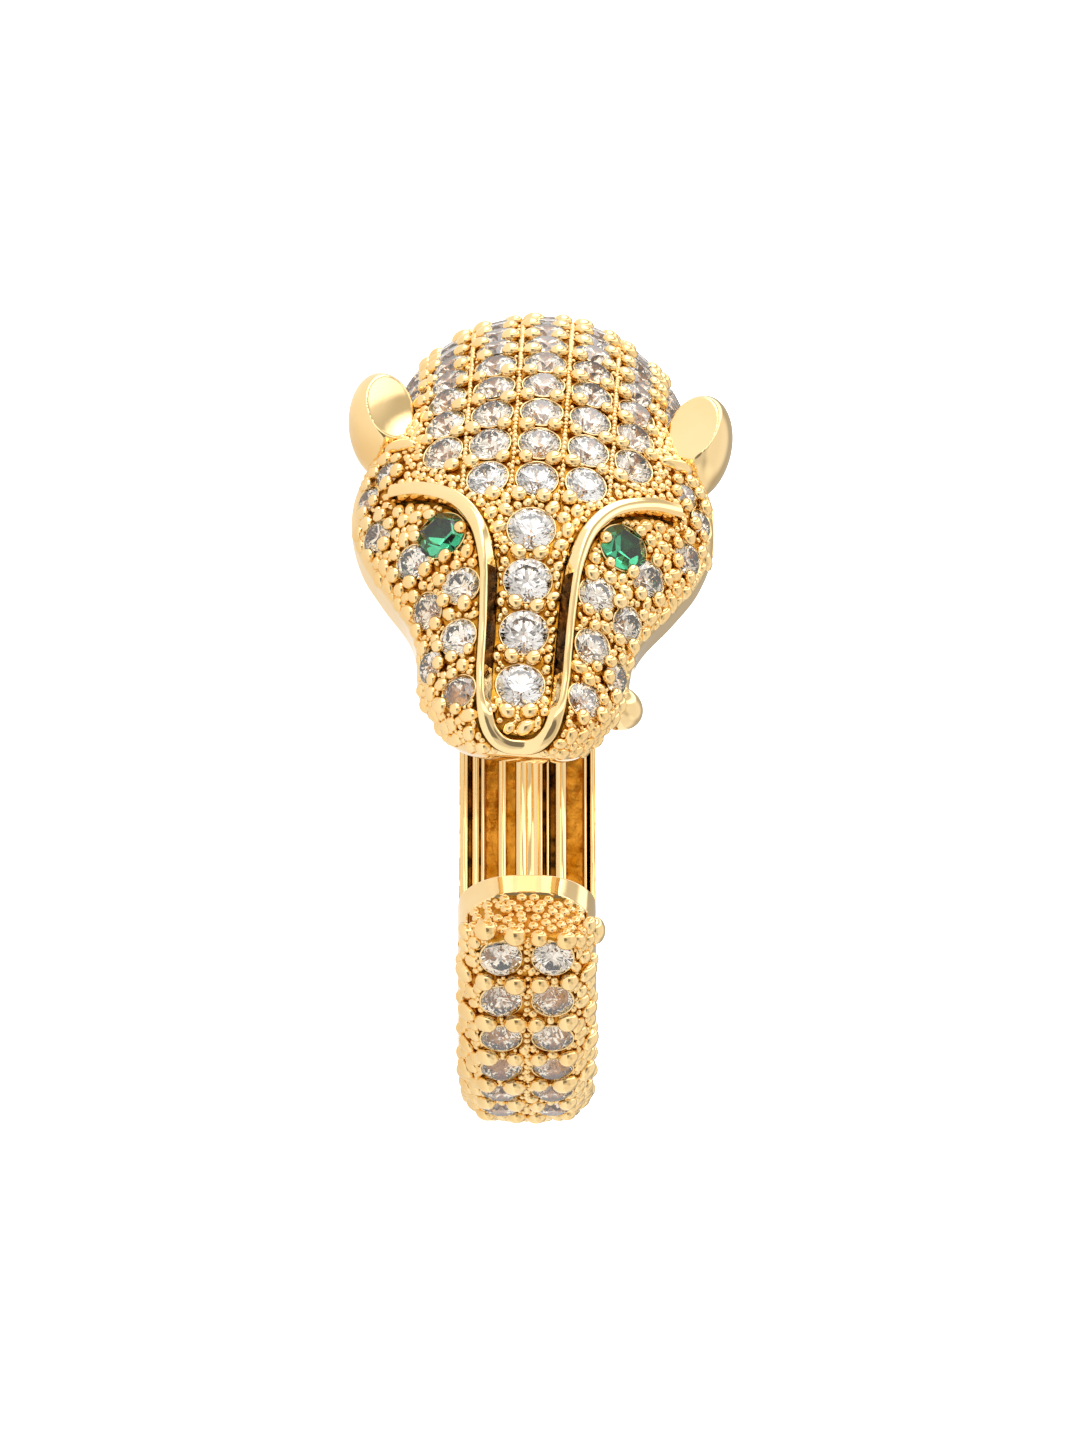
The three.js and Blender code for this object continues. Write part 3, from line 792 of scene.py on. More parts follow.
def make_head(angles):
    rows = [outline(slice_at(HEAD, deg), FINGER_RADIUS, HEAD_POINTS) for deg in angles]
    places = np.array([polar(across, radius, deg) for (across, radius), deg in zip(rows, angles)])
    neck = ramp(angles, *NECK)[:, None, None]
    straight = neck * neck * (3 - 2 * neck)
    ring_places = apply(head_to_ring, places) * (1 - straight) + places * straight
    ring_out = sheet_normals(places) @ np.array(head_to_ring)[:3, :3].T
    field = field_share(HEAD, angles, places, **HEAD_FIELD)
    outer = work_field(ring_places, ring_out, field, seats["head"], seed=3)
    outer[:, 0], outer[:, -1] = onto_finger(outer[:, 0]), onto_finger(outer[:, -1])
    stand_back = sum(depth * ramp(angles, start, full) for depth, start, full in STAND_BACK)
    under = 1 + stand_back[:, None, None] / FINGER_RADIUS
    inner = across_hole(outer, HOLE_POINTS) * np.concatenate([np.ones_like(under), under, under], axis=-1)
    finishes = np.concatenate([field[:-1] > FIELD_EDGE, np.zeros(inner[:-1].shape[:2])], axis=1)
    return press("head_casting", np.concatenate([outer, inner], axis=1), finishes)


# Faces well inside the field take the rough gold, whose darker tint is painted shade.
finish(make_head(head_angles), [gold, field_gold_painted_shade], ["ring_body", "crown_pave"], crease=50)

# %% [markdown]
# ## The band and the tail
# The band is pressed in the same way. Its inside is cast with channels and ribs to save metal, so each slice's
# inner edge steps up and down across the band. No two channels are alike: some are polished, some are left
# rough and tinted darker with painted shade, and the narrow ones are painted almost black as painted shade.
# The ribs between them are rounded and catch the light in lines. The channels run out before the tail's end.

# %% Channels inside the band
POLISHED, ROUGH, DARK = 0, 1, 2  # a face's finish, in the order of the band's materials
# ROUGH floors are tinted darker and DARK floors almost black, both as painted shade.
GROOVES = (  # from, to, floor radius, what the floor is like
    (-1.84, -1.7, 9.3, DARK),
    (-1.52, -1.44, 8.8, DARK),
    (-1.3, -0.88, 9.45, ROUGH),
    (-0.66, -0.34, 9.1, ROUGH),
    (-0.05, 0.36, 9.1, POLISHED),
    (0.48, 0.58, 8.9, DARK),
    (0.68, 0.88, 9.3, DARK),
    (1.18, 1.72, 9.5, ROUGH),
    (1.84, 1.92, 9.2, DARK),
)
RIB_ROUND = 0.07  # mm by which the edges of a rib are lower than its middle
GROOVE_DRAFT = 0.02  # mm by which a groove's walls lean
GROOVE_FOOT = 0.2  # share of a wall's height that is left where it turns into the floor
FLOOR_HOLLOW = 0.05  # mm by which a polished floor is hollowed
BAND_SIDE = 0.03  # mm from the band's side to its first rib
CHANNEL_START, CHANNEL_END = 138.0, 322.0
CHANNEL_FADE = 2.0  # degrees over which the channels run out


def inner_profile():
    """Across, radius and what the metal is like, from left to right along the band's inside."""
    edge, top = BAND_HALF_WIDTH - BAND_SIDE, FINGER_RADIUS + RIB_ROUND
    points, left = [], -edge
    for start, stop, floor, look in (*GROOVES, (edge, edge, 0, 0)):
        for t in np.linspace(-1, 1, 7):
            rib = (left + start) / 2 + t * (start - left) / 2
            points.append((rib, FINGER_RADIUS + RIB_ROUND * t * t, POLISHED))
        if start == stop:
            break
        foot = floor - GROOVE_FOOT * (floor - top)
        points.append((start + GROOVE_DRAFT, foot, look))
        for t in np.linspace(-1, 1, 6):
            hollow = FLOOR_HOLLOW * (1 - t * t) if look == POLISHED else 0.0
            level = (start + stop) / 2 + t * (stop - start - 4 * GROOVE_DRAFT) / 2
            points.append((level, floor + hollow, look))
        points.append((stop - GROOVE_DRAFT, foot, look))
        left = stop
    return points


def channels_open(deg):
    """Over 1 where the channels have their full depth, and under 0 where there are none."""
    return np.minimum(deg - CHANNEL_START, CHANNEL_END - deg) / CHANNEL_FADE + 0.5


print(len(GROOVES), "channels,", len(inner_profile()), "points across the band's inside")

# %% [markdown]
# Seen from the front, the tail's end is rounded off like a tongue. Cutting the corners off would leave long
# faces beside short ones. The rows near the end are squeezed together instead, more at the sides than in the
# middle, so that each row bends a little more than the one before.

# %% Band sheet
BAND_CELL = 0.12  # mm between rows
BAND_POINTS = 100  # around the outside
BAND_LIP = 0.06  # mm from the finger hole to where the outside starts
TAIL_SECTION = 327.0  # degrees, past which the tail keeps this slice's section
TAIL_FIELD = {"start": 273.6, "stop": 331.0, "rim": 0.1}  # degrees, degrees and mm
TAIL_END = 328.8  # degrees, at the middle
TAIL_ROUND = (1.75, 1.5)  # mm across and along by which the tail's corners are rounded off
TAIL_SQUEEZE = 312.0  # degrees from where rows are squeezed to follow the rounded end
END_SET_BACK = 1.3  # degrees left free for the end's own face
FLOOR_GRAIN, FLOOR_LUMP = 0.05, 0.18  # mm of a rough floor's grains, and between them
SWELL, SWELL_LUMP = 0.02, 1.1  # mm by which the whole inside swells, and between the swells
FLOOR_RADIUS = 9.0  # mm, about where the floors lie
FAINT = 0.02  # least share of the lumps, where the channels have run out
FLOOR_EDGE = 0.05  # share of a channel's depth from which it has its own finish


def tail_end(across, half):
    """The angle where the tail ends, less towards its rounded corners."""
    wide, long = TAIL_ROUND
    x = np.clip((np.abs(across) - (half - wide)) / wide, 0, 1)
    return TAIL_END - np.degrees(long * (1 - np.sqrt(np.maximum(1 - x * x, 0))) / CROWN_RADIUS)


def squeezed(across, radius, deg, half):
    """Places of one row, carried towards the rounded outline if it is near the end of the tail."""
    share = np.clip((deg - TAIL_SQUEEZE) / (BAND[-1, 0] - TAIL_SQUEEZE), 0, 1)
    turn = np.minimum(deg, TAIL_SQUEEZE) + share * (tail_end(across, half) - END_SET_BACK - TAIL_SQUEEZE)
    return polar(across, radius, turn)


def make_band():
    angles = even_angles(BAND, BAND_CELL)
    profile, depth, look = np.array(inner_profile()).T
    outer, inner = [], []
    for deg in angles:
        row = slice_at(BAND, min(deg, TAIL_SECTION))
        half, share = row["half"], np.clip(channels_open(deg), 0, 1)
        outer.append(squeezed(*outline(row, FINGER_RADIUS + BAND_LIP, BAND_POINTS), deg, half))
        floor = FINGER_RADIUS + (depth - FINGER_RADIUS) * share
        inner.append(squeezed(profile * half / BAND_HALF_WIDTH, floor, deg, half))
    outer, inner = np.array(outer), np.array(inner)
    field = field_share(BAND, angles, outer, **TAIL_FIELD)
    outer = work_field(outer, sheet_normals(outer), field, seats["tail"], seed=4)
    rough = (look == ROUGH)[None, :] * lumps(inner, FLOOR_LUMP, 8) * FLOOR_GRAIN
    cast = rough + SWELL * lumps(inner, SWELL_LUMP, 11)
    opened = np.clip(channels_open(angles), FAINT, 1)[:, None]
    inner = inner + inner * np.stack([0 * cast, cast * opened, cast * opened], axis=-1) / FLOOR_RADIUS
    floors = np.where(opened[:-1] > FLOOR_EDGE, look, POLISHED)
    finishes = np.concatenate([field[:-1] > FIELD_EDGE, floors], axis=1)
    return press("band_casting", np.concatenate([outer, inner], axis=1), finishes)


# The rough and the dark floors carry painted shade.
finish(make_band(), [gold, field_gold_painted_shade, painted_shade_and_reflection_gold], ["ring_body"], crease=34)

# %% [markdown]
# The tail ends in a face of its own: an arched, polished rim on the finger's side, and behind it a sunk field
# left rough from the mould, whose darker tint is painted shade. It is a slab as wide and high as the tail,
# pressed from a grid whose edge falls away in a small round and whose field is pushed in.

# %% Tail end face
END_GRID = (97, 81)  # points across and up
END_EDGE = 0.12  # mm of rounding along the edge of the face
END_FIELD = {"from": 9.8, "arch": 0.25, "margin": 0.28, "depth": 0.16, "grain": 0.05}
END_WALL, END_GRAIN_FADE = 0.08, 0.1  # mm over which the field sinks, and over which its grain starts
END_ROUGH = 0.02  # mm of sinking from which the metal is rough
END_SLAB = 0.42  # mm thick
END_BACK = 0.985  # the back's size against the front's, so that the slab's sides stay in the metal


def make_tail_end():
    row = slice_at(BAND, TAIL_SECTION)
    half = row["half"]
    s, t = np.meshgrid(np.linspace(-1, 1, END_GRID[0]), np.linspace(0, 1, END_GRID[1]))
    across = s * half
    top = surface_radius(BAND, np.full_like(across, TAIL_SECTION), across)
    radius = FINGER_RADIUS + t * (top - FINGER_RADIUS)
    edge = np.minimum(np.minimum(half - np.abs(across), top - radius), radius - FINGER_RADIUS)
    fall = END_EDGE - np.sqrt(np.maximum(END_EDGE**2 - np.maximum(END_EDGE - edge, 0) ** 2, 0))
    arch = radius - END_FIELD["from"] - END_FIELD["arch"] * (across / half) ** 2
    rim = np.minimum(half - np.abs(across) - END_FIELD["margin"], arch)
    sunk = END_FIELD["depth"] * ramp(rim, 0.0, END_WALL)
    rough = ramp(rim, 0.0, END_GRAIN_FADE) * END_FIELD["grain"]
    out = fall + sunk - rough * lumps(polar(across, radius, 0), 0.2, 9)
    end = tail_end(across, half)
    front = polar(across, radius, end - np.degrees(out / radius))
    middle = (FINGER_RADIUS + top) / 2
    drawn_in = middle + END_BACK * (radius - middle)
    back = polar(END_BACK * across, drawn_in, end - np.degrees(END_SLAB / radius))
    finishes = np.concatenate([sunk[:-1] > END_ROUGH, np.zeros_like(sunk[:-1])], axis=1)
    return press("tail_end_face", np.concatenate([front, back[:, ::-1]], axis=1), finishes)


# The sunk field takes the rough gold, tinted darker as painted shade.
finish(make_tail_end(), [gold, field_gold_painted_shade], crease=35)

# %% [markdown]
# ## Brow and nose rail
# One polished ribbon runs from the outer end of one brow along the nose, round the chin and back up to the
# other brow. Its route is charted on one half of the face and mirrored. A curve with a bevel profile would
# give one section all along, but this ribbon is bevelled beside the nose and leans to the front under the
# chin, so its section is worked out at each step and carried along the route.

# %% The rail's route and section
RAIL = {"width": 0.44, "height": 0.42, "corner": 0.07, "foot": -0.35, "steps": 260}
RAIL_HALF = ((4.08, 6.3), (3.3, 6.42), (2.25, 6.2), (1.62, 5.6), (1.28, 4.6), (1.17, 3.2), (1.14, 2.0),
             (1.13, 1.1), (1.06, 0.3), (0.88, -0.3), (0.6, -0.61), (0.3, -0.73), (0.0, -0.75))
SPAN_STEPS = 40  # between two points of the route
CENTRIPETAL = 0.5  # power of the distances between its points, which keeps the curve free of loops
GUTTER = 0.07  # width of the line painted dark as shade on either side of the rail's foot
CHIN_FOOT = 0.6  # mm by which the foot is lengthened under the chin
CHIN_LOWER = 0.35  # share of the height that is lost there


def smooth_route(points, steps):
    """Even steps along a centripetal Catmull-Rom curve through the points."""
    p = np.array(points, float)
    p = np.vstack([2 * p[0] - p[1], p, 2 * p[-1] - p[-2]])
    line = []
    for i in range(1, len(p) - 2):
        knots = run_along(p[i - 1 : i + 3], CENTRIPETAL)
        for t in np.linspace(knots[1], knots[2], SPAN_STEPS, endpoint=False):
            a = [((knots[j + 1] - t) * p[i - 1 + j] + (t - knots[j]) * p[i + j]) / (knots[j + 1] - knots[j])
                 for j in range(3)]
            b = [((knots[j + 2] - t) * a[j] + (t - knots[j]) * a[j + 1]) / (knots[j + 2] - knots[j])
                 for j in range(2)]
            line.append(((knots[2] - t) * b[0] + (t - knots[1]) * b[1]) / (knots[2] - knots[1]))
    line = np.array(line + [p[-2]])
    run = run_along(line)
    even = np.linspace(0, run[-1], steps + 1)
    return np.stack([np.interp(even, run, line[:, k]) for k in range(line.shape[1])], axis=-1)


def rail_section(bevelled, chin):
    """Across and height of a ribbon: square with a rounded top, or bevelled towards the nose."""
    half, corner = RAIL["width"] / 2, RAIL["corner"]
    height = RAIL["height"] * (1 - CHIN_LOWER * chin)
    foot = RAIL["foot"] - CHIN_FOOT * chin
    side = [(-half - GUTTER, foot), (-half - GUTTER, -0.06), (-half, -0.03), (-half, height - corner)]
    for turn in np.linspace(15, 75, 4):
        angle = math.radians(turn)
        lift = height - corner + corner * math.sin(angle)
        side.append((-half + corner - corner * math.cos(angle), lift))
    square = side + [(-0.05, height + 0.02), (0.05, height + 0.02), (0.09, height + 0.01), (0.13, height)]
    bevel = side + [(-0.09, height + 0.01), (-0.02, height - 0.01), (0.01, height - 0.05), (0.22, 0.04)]
    for turn in np.linspace(75, 15, 4):
        angle = math.radians(turn)
        square.append((half - corner + corner * math.cos(angle), height - corner + corner * math.sin(angle)))
        bevel.append((half + 0.02 + 0.02 * (75 - turn) / 60, 0.0 - 0.12 * (75 - turn) / 60))
    square += [(half, -0.03), (half + GUTTER, -0.06), (half + GUTTER, foot)]
    bevel += [(half + 0.05, -0.15), (half + GUTTER, -0.17), (half + GUTTER, foot)]
    return np.array(square) * (1 - bevelled) + np.array(bevel) * bevelled


route = smooth_route([*RAIL_HALF, *[(-x, y) for x, y in reversed(RAIL_HALF[:-1])]], RAIL["steps"])
print(len(route), "steps along the rail,", round(run_along(route)[-1], 1), "mm across the face")

# %% [markdown]
# The ribbon stands upright on the face beside the nose. Under the chin the face turns away downwards, so there
# the ribbon leans to the front, is a little lower and has a longer foot. Its gutters are painted dark all
# along as painted shade, and the bevel along the nose is painted dark as a painted reflection.

# %% Rail
CHIN_FROM, CHIN_FULL = 1.0, -0.2  # up the face, where the ribbon starts to lean to the front, and leans fully
CHIN_FACING = 1.3  # how far it leans
BEVEL_FROM, BEVEL_FADE = 0.1, 0.5  # up the face, where the bevel starts, and mm over which it grows
BEVEL_LEAVES, BEVEL_ENDS = 4.2, 5.6  # up the face, where it starts to fade, and is gone at the brow
DARK_FROM, DARK_TO, DARK_FADE = 1.4, 4.3, 0.6  # up the face, where the bevel is painted almost black as a painted reflection
GUTTER_COLUMNS = [1, -3]  # of the section's points
BEVEL_COLUMNS, LOW_BEVEL_COLUMNS = slice(10, 16), slice(12, 16)


def make_rail(route):
    frames = [surface_frame(HEAD, head_angle(x, y), x) for x, y in route]
    centres = np.array([f.translation for f in frames])
    rows = []
    for (_, up), place, forward, f in zip(route, centres, np.gradient(centres, axis=0), frames):
        chin = float(ramp(-up, -CHIN_FROM, -CHIN_FULL))
        out = (Vector(f.col[2][:3]) + Vector((0, 0, CHIN_FACING * chin))).normalized()
        side = Vector(forward).cross(out).normalized()
        bevel = ramp(up, BEVEL_FROM, BEVEL_FROM + BEVEL_FADE) * ramp(-up, -BEVEL_ENDS, -BEVEL_LEAVES)
        rows.append([Vector(place) + side * s + out * h for s, h in rail_section(float(bevel), chin)])
    up, dark = route[:-1, 1], np.zeros((len(rows) - 1, len(rows[0])))
    dark[:, GUTTER_COLUMNS] = 1
    dark[(up > DARK_FROM) & (up < DARK_TO), BEVEL_COLUMNS] = 1
    dark[(up > DARK_FROM - DARK_FADE) & (up < DARK_TO + DARK_FADE), LOW_BEVEL_COLUMNS] = 1
    piece = press("brow_and_nose_rail", apply(head_to_ring, np.array(rows)), dark)
    return piece, apply(head_to_ring, centres)


rail, rail_line = make_rail(route)
# The gutters are painted dark as shade, and the bevel along the nose as a dark reflection.
finish(rail, [gold, painted_shade_and_reflection_gold], crease=40)

# %% [markdown]
# ## Ears
# Each ear is a smooth lobe with a hollow scooped from its front. The lobe and the scoop are both stretched
# spheres and the cut is a boolean, which leaves a sharp lip. A bevel would fail on such uneven faces, so the
# ear is remeshed at a fine voxel and smoothed, which rounds the lip as polishing does.

# %% Ears
EAR_LOBE = {"place": (4.66, 8.42, 4.9), "size": (1.05, 1.62, 1.5), "lean": -10.0}
EAR_HOLLOW = {"place": (2.72, 11.15, 9.2), "size": (4.5, 4.5, 4.5), "lean": 0.0}
EAR_VOXEL = 0.045  # mm
EAR_SMOOTHING = {"iterations": 8, "factor": 0.5}


def ear_place(spec, side):
    """The frame of an ear's lobe or hollow, mirrored to its side of the head."""
    x, y, z = spec["place"]
    lean = Matrix.Rotation(math.radians(side * spec["lean"]), 4, "Z")
    return head_to_ring @ Matrix.Translation((side * x, y, z)) @ lean


def ear_ball(name, spec, side):
    stretched = ear_place(spec, side) @ Matrix.Diagonal((*spec["size"], 1))
    return new_ball(name, ring_to_world @ stretched, 6)


def modify(piece, kind, **settings):
    """Adds a modifier to the piece and applies it."""
    modifier = piece.modifiers.new(kind, kind)
    for key, value in settings.items():
        setattr(modifier, key, value)
    bpy.ops.object.modifier_apply(modifier=modifier.name)


def make_ear(word, side):
    lobe, hollow = ear_ball(f"ear_{word}", EAR_LOBE, side), ear_ball("ear_hollow", EAR_HOLLOW, side)
    pick(lobe)
    modify(lobe, "BOOLEAN", operation="DIFFERENCE", object=hollow)
    bpy.data.objects.remove(hollow)
    modify(lobe, "REMESH", mode="VOXEL", voxel_size=EAR_VOXEL * MM)
    modify(lobe, "SMOOTH", **EAR_SMOOTHING)
    return lobe


for word, side in SIDES.items():
    finish(make_ear(word, side), [gold])

# %% [markdown]
# ## Folds and left-over lumps
# A short fold of metal runs from the foot of each ear on to the brow. Castings also keep small lumps where
# the metal was fed in or the wax was joined: one stands on the jaw's right corner, one on the band's right
# side. Each is a ball pulled into an egg and pushed half into the metal, which needs no join.

# %% Folds and lumps
EGGS = {  # where it stands, half its length, width and height, and how it is turned
    "ear_fold_left": (on_face(-4.05, 7.75), (0.66, 0.21, 0.34), -25.0),
    "ear_fold_right": (on_face(4.05, 7.75), (0.66, 0.21, 0.34), 25.0),
    "jaw_lump": (head_to_ring @ Matrix.Translation((2.82, 0.56, 10.4)), (0.78, 0.66, 0.85), -20.0),
    "band_lump": (Matrix.Translation((2.0, -6.2, 8.8)), (0.32, 0.42, 0.5), 0.0),
}
for name, (placed, size, turn) in EGGS.items():
    egg = ring_to_world @ placed @ Matrix.Rotation(math.radians(turn), 4, "Z") @ Matrix.Diagonal((*size, 1))
    finish(new_ball(name, egg, 5), [gold])

# %% [markdown]
# ## Cups
# Each stone drops into a cup, whose lip shows as a thin bright line around the stone. The lip is a fine
# torus that lies on the sunk field, made at each stone's size so that it is equally thin on all.

# %% Cup lips
LIP = {"gap": 0.02, "thick": 0.03, "lift": -0.07}
LIP_SEGMENTS = {"major_segments": 28, "minor_segments": 8}


def cup_template(diameter):
    deselect()
    bpy.ops.mesh.primitive_torus_add(**LIP_SEGMENTS, major_radius=diameter / 2 + LIP["gap"],
                                     minor_radius=LIP["thick"])
    return take_template(bpy.context.object)


sunk_lip = Matrix.Translation((0, 0, LIP["lift"]))
for form, chosen in seats.items():
    cups = [(cup_template(diameter), placed @ sunk_lip) for diameter, placed in chosen]
    finish(stamp(f"{form}_cups", cups), [gold])

# %% [markdown]
# ## Prongs
# The setter raises beads of metal with a hollow punch and presses them over the stones' edges. One bead is
# modelled from a round ball, flattened a little, and stamped wherever a bead stands. Grains, which are
# smaller, start from a ball with fewer faces. Geometry nodes could scatter them too. Here each one's place,
# width and turn is worked out in code, so plain copies in one mesh are simpler.

# %% Bead templates
PRESSED = 0.8  # height against width of a bead that is pressed over a stone's edge
bead = take_template(new_ball("bead", Matrix(), 3))
grain = take_template(new_ball("grain", Matrix(), 2))
standing = []  # centre and radius of every bead, so that later ones keep clear
print("a bead has", len(bead[1]), "faces, a grain", len(grain[1]))


def stand_bead(placed, radius, lift=0.3, squash=0.9, stretch=1.0, turn=0.0):
    """The frame of a bead, and a note of where it stands."""
    standing.append((np.array(placed.translation), radius * max(1.0, stretch)))
    return (placed @ Matrix.Translation((0, 0, lift * radius)) @ Matrix.Rotation(math.radians(turn), 4, "Z")
            @ Matrix.Diagonal((radius * stretch, radius, squash * radius, 1)))


def stray_bead(form, deg, across, radius, hand, share=1, stretch=1.0, **shape):
    """A bead near a place on a form, as exact in size, place, width and turn as the setter's hand is."""
    size = radius * rng.uniform(*hand["size"]) * share
    place = form(deg + rng.normal(0, hand["along"]), across + rng.normal(0, hand["across"]))
    stretch *= rng.uniform(*hand["width"])
    return stand_bead(place, size, stretch=stretch, turn=rng.normal(0, hand["turn"]), **shape)


def finish_beads(name, template, frames):
    finish(copies(name, template, frames), [bead_gold])


# %% [markdown]
# On the crown a bead stands on either side of each gap between two stones of a column, so four beads hold a
# stone. Each is drawn with its own size, place, width and turn, within what a setter's hand allows. Four
# larger ones stand in a row along the brow.

# %% Beads of the crown
CROWN_BEAD = {"shift": 0.41, "radius": 0.215, "growth": 0.05, "grows": (50, 85)}
CROWN_HAND = {"size": (0.88, 1.1), "along": 0.2, "across": 0.04, "width": (1.0, 1.25), "turn": 20}
BROW_BEADS = ((-1.25, 0.25), (-0.5, 0.24), (0.24, 0.24), (0.98, 0.25))  # across, radius
crown_beads = []
for row in range(1, CROWN["rows"] + 1):
    deg = CROWN["first"] + (row - 0.5) * CROWN["pitch"]
    radius = CROWN_BEAD["radius"] + CROWN_BEAD["growth"] * float(ramp(deg, *CROWN_BEAD["grows"]))
    for column, across in enumerate(CROWN["columns"]):
        if column == OUTER_COLUMN and row < OUTER_COLUMN_FIRST_ROW:
            continue
        for side in (-1, 1) if across else (1,):
            for shift in (-CROWN_BEAD["shift"], CROWN_BEAD["shift"]):
                if row == 1 and column == 2 and shift > 0:
                    continue  # the outermost bead of the first gap is left out
                crown_beads.append(stray_bead(on_head, deg, side * (across + shift), radius, CROWN_HAND,
                                              squash=PRESSED))
for across, radius in BROW_BEADS:
    place = on_head(CROWN["first"] - CROWN["pitch"] / 2, across)
    crown_beads.append(stand_bead(place, radius, squash=PRESSED))
finish_beads("crown_beads", bead, crown_beads)

# %% [markdown]
# Between the crown's columns the metal is drawn up into fine ridges. A plain ridge would look like wire.
# The real one is a row of bright points, so it is a row of grains that touch.

# %% Ridges between the crown's columns
RIDGE = {"before": 1.0, "end": 98.0, "step": 0.85, "radius": 0.085, "across": (0.735, 2.16, 3.4)}
RIDGE_HAND = {"across": 0.012, "size": (0.75, 1.2)}
OUTER_RIDGE_FROM = 58  # degrees
ridge_grains = []
for across in RIDGE["across"]:
    for side in (-1, 1):
        for deg in np.arange(CROWN["first"] - RIDGE["before"], RIDGE["end"], RIDGE["step"]):
            if across == RIDGE["across"][-1] and deg < OUTER_RIDGE_FROM:
                continue
            place = on_head(float(deg), side * across + rng.normal(0, RIDGE_HAND["across"]))
            size = RIDGE["radius"] * rng.uniform(*RIDGE_HAND["size"])
            ridge_grains.append(stand_bead(place, size, lift=0.1, stretch=1.1, turn=90))
finish_beads("crown_ridges", grain, ridge_grains)

# %% [markdown]
# The nose's stones stand close together, and each pair shares two large beads, pressed askew into the gap
# between them. A small bead stands outside each large one, against the rail.

# %% Beads of the nose
NOSE_BEADS = (  # across, radius, mm by which it strays up or down, degrees by which it is askew, shape
    (0.33, 0.23, 0.03, 25, {"squash": PRESSED, "stretch": 1.15}),
    (0.76, 0.15, 0.04, 0, {}),
)
nose_beads = []
for i in range(NOSE["count"]):
    up = NOSE["top"] - (0.5 + i) * NOSE["pitch"]
    for side in (-1, 1):
        for across, radius, strays, askew, shape in NOSE_BEADS:
            place = on_face(NOSE["across"] + side * across, up + rng.normal(0, strays))
            nose_beads.append(stand_bead(place, radius, turn=side * askew, **shape))
finish_beads("nose_beads", bead, nose_beads)

# %% [markdown]
# The tail's beads are the largest. Each gap between two rows of stones has six in a line, the outer ones
# drawn out over the tail's sides, and a low one on each side below them. A row of three small beads runs
# down the middle beside each stone.

# %% Beads of the tail
TAIL_BEADS = ((0.36, 0.31, 1.0), (1.18, 0.33, 1.0), (1.76, 0.27, 1.3))  # across, radius, stretch
TAIL_HAND = {"size": (0.82, 1.08), "along": 0.4, "across": 0.04, "width": (0.95, 1.2), "turn": 12}
SIDE_BEAD = {"across": 1.96, "radius": 0.22, "lift": -0.2, "width": (1.0, 1.3)}
MIDDLE_BEAD = {"radius": 0.1, "lift": 0.1, "stretch": 1.1}
MIDDLE_SHIFTS = (-1.3, 0.0, 1.3)  # degrees from the row of stones
TAIL_ENDS = (0, TAIL["rows"])  # the gaps before the first and after the last row
BEND_ROW, BEND_SIZE = 5, 0.75  # the gap from which the outer beads are smaller, towards the bend
tail_beads = []
for row in range(TAIL["rows"] + 1):
    deg = TAIL["first"] - (row - 0.5) * abs(TAIL["pitch"])
    for across, radius, stretch in TAIL_BEADS:
        for side in (-1, 1):
            if row in TAIL_ENDS and across == TAIL_BEADS[-1][0]:
                continue
            share = 1 if row < BEND_ROW or across == TAIL_BEADS[0][0] else BEND_SIZE
            tail_beads.append(stray_bead(on_band, deg, side * across, radius, TAIL_HAND, share, stretch,
                                         lift=0.2, squash=0.85))
    if row in TAIL_ENDS:
        continue
    for side in (-1, 1):
        place = on_band(deg, side * SIDE_BEAD["across"])
        tail_beads.append(stand_bead(place, SIDE_BEAD["radius"], lift=SIDE_BEAD["lift"],
                                     stretch=rng.uniform(*SIDE_BEAD["width"])))
for row in range(TAIL["rows"]):
    for shift in MIDDLE_SHIFTS:
        deg = TAIL["first"] - row * abs(TAIL["pitch"]) + shift
        tail_beads.append(stand_bead(on_band(deg, 0.0), **MIDDLE_BEAD))
finish_beads("tail_beads", bead, tail_beads)

# %% [markdown]
# Around the cheek stones the beads don't follow a grid. Each stone gets up to six spots around its edge, and
# a spot is used if no other stone, bead or rail is in the way, so neighbours share beads as on the real
# thing. The eyes get one large bead on the nose's side.

# %% Beads of the cheeks and eyes
EYE_BEAD = {"across": 2.1, "up": 5.46, "radius": 0.21, "lift": 0.5}
CHEEK_BEAD = {"radius": (0.17, 0.24), "width": (1.0, 1.2), "strays": 6}  # mm, a ratio, degrees
SPOTS, SPOT_TURN = 6, 60  # around a stone, and degrees between them
BESIDE = 0.4  # share of its radius by which a bead's middle stands outside its stone's edge
NEEDED = {"stones": 0.1, "rail": 0.6, "beads": 0.9}  # share of a bead's radius that has to be free of each
RAIL_ROOM = 0.3  # mm kept clear around the middle of the rail
RIM_ROOM = 0.16  # mm kept clear along the edge of the head
stone_spots = [(np.array(placed.translation), diameter / 2) for _, _, diameter, placed in stones]
rail_spots = [(place, RAIL_ROOM) for place in rail_line]


def room(point, others):
    """The free distance from a point to the nearest of the others."""
    places, radii = np.array([o[0] for o in others]), np.array([o[1] for o in others])
    return float((np.linalg.norm(places - point, axis=1) - radii).min())


def is_free(point, radius, near):
    """Whether a bead has room here between the rim, the stones, the rail and the other beads."""
    local = head_to_ring.inverted() @ point
    half = float(read(HEAD, math.degrees(math.atan2(local.y, local.z)))["half"])
    return (abs(local.x) <= half - RIM_ROOM and room(point, near) >= NEEDED["stones"] * radius
            and room(point, rail_spots) >= NEEDED["rail"] * radius
            and room(point, standing) >= NEEDED["beads"] * radius)


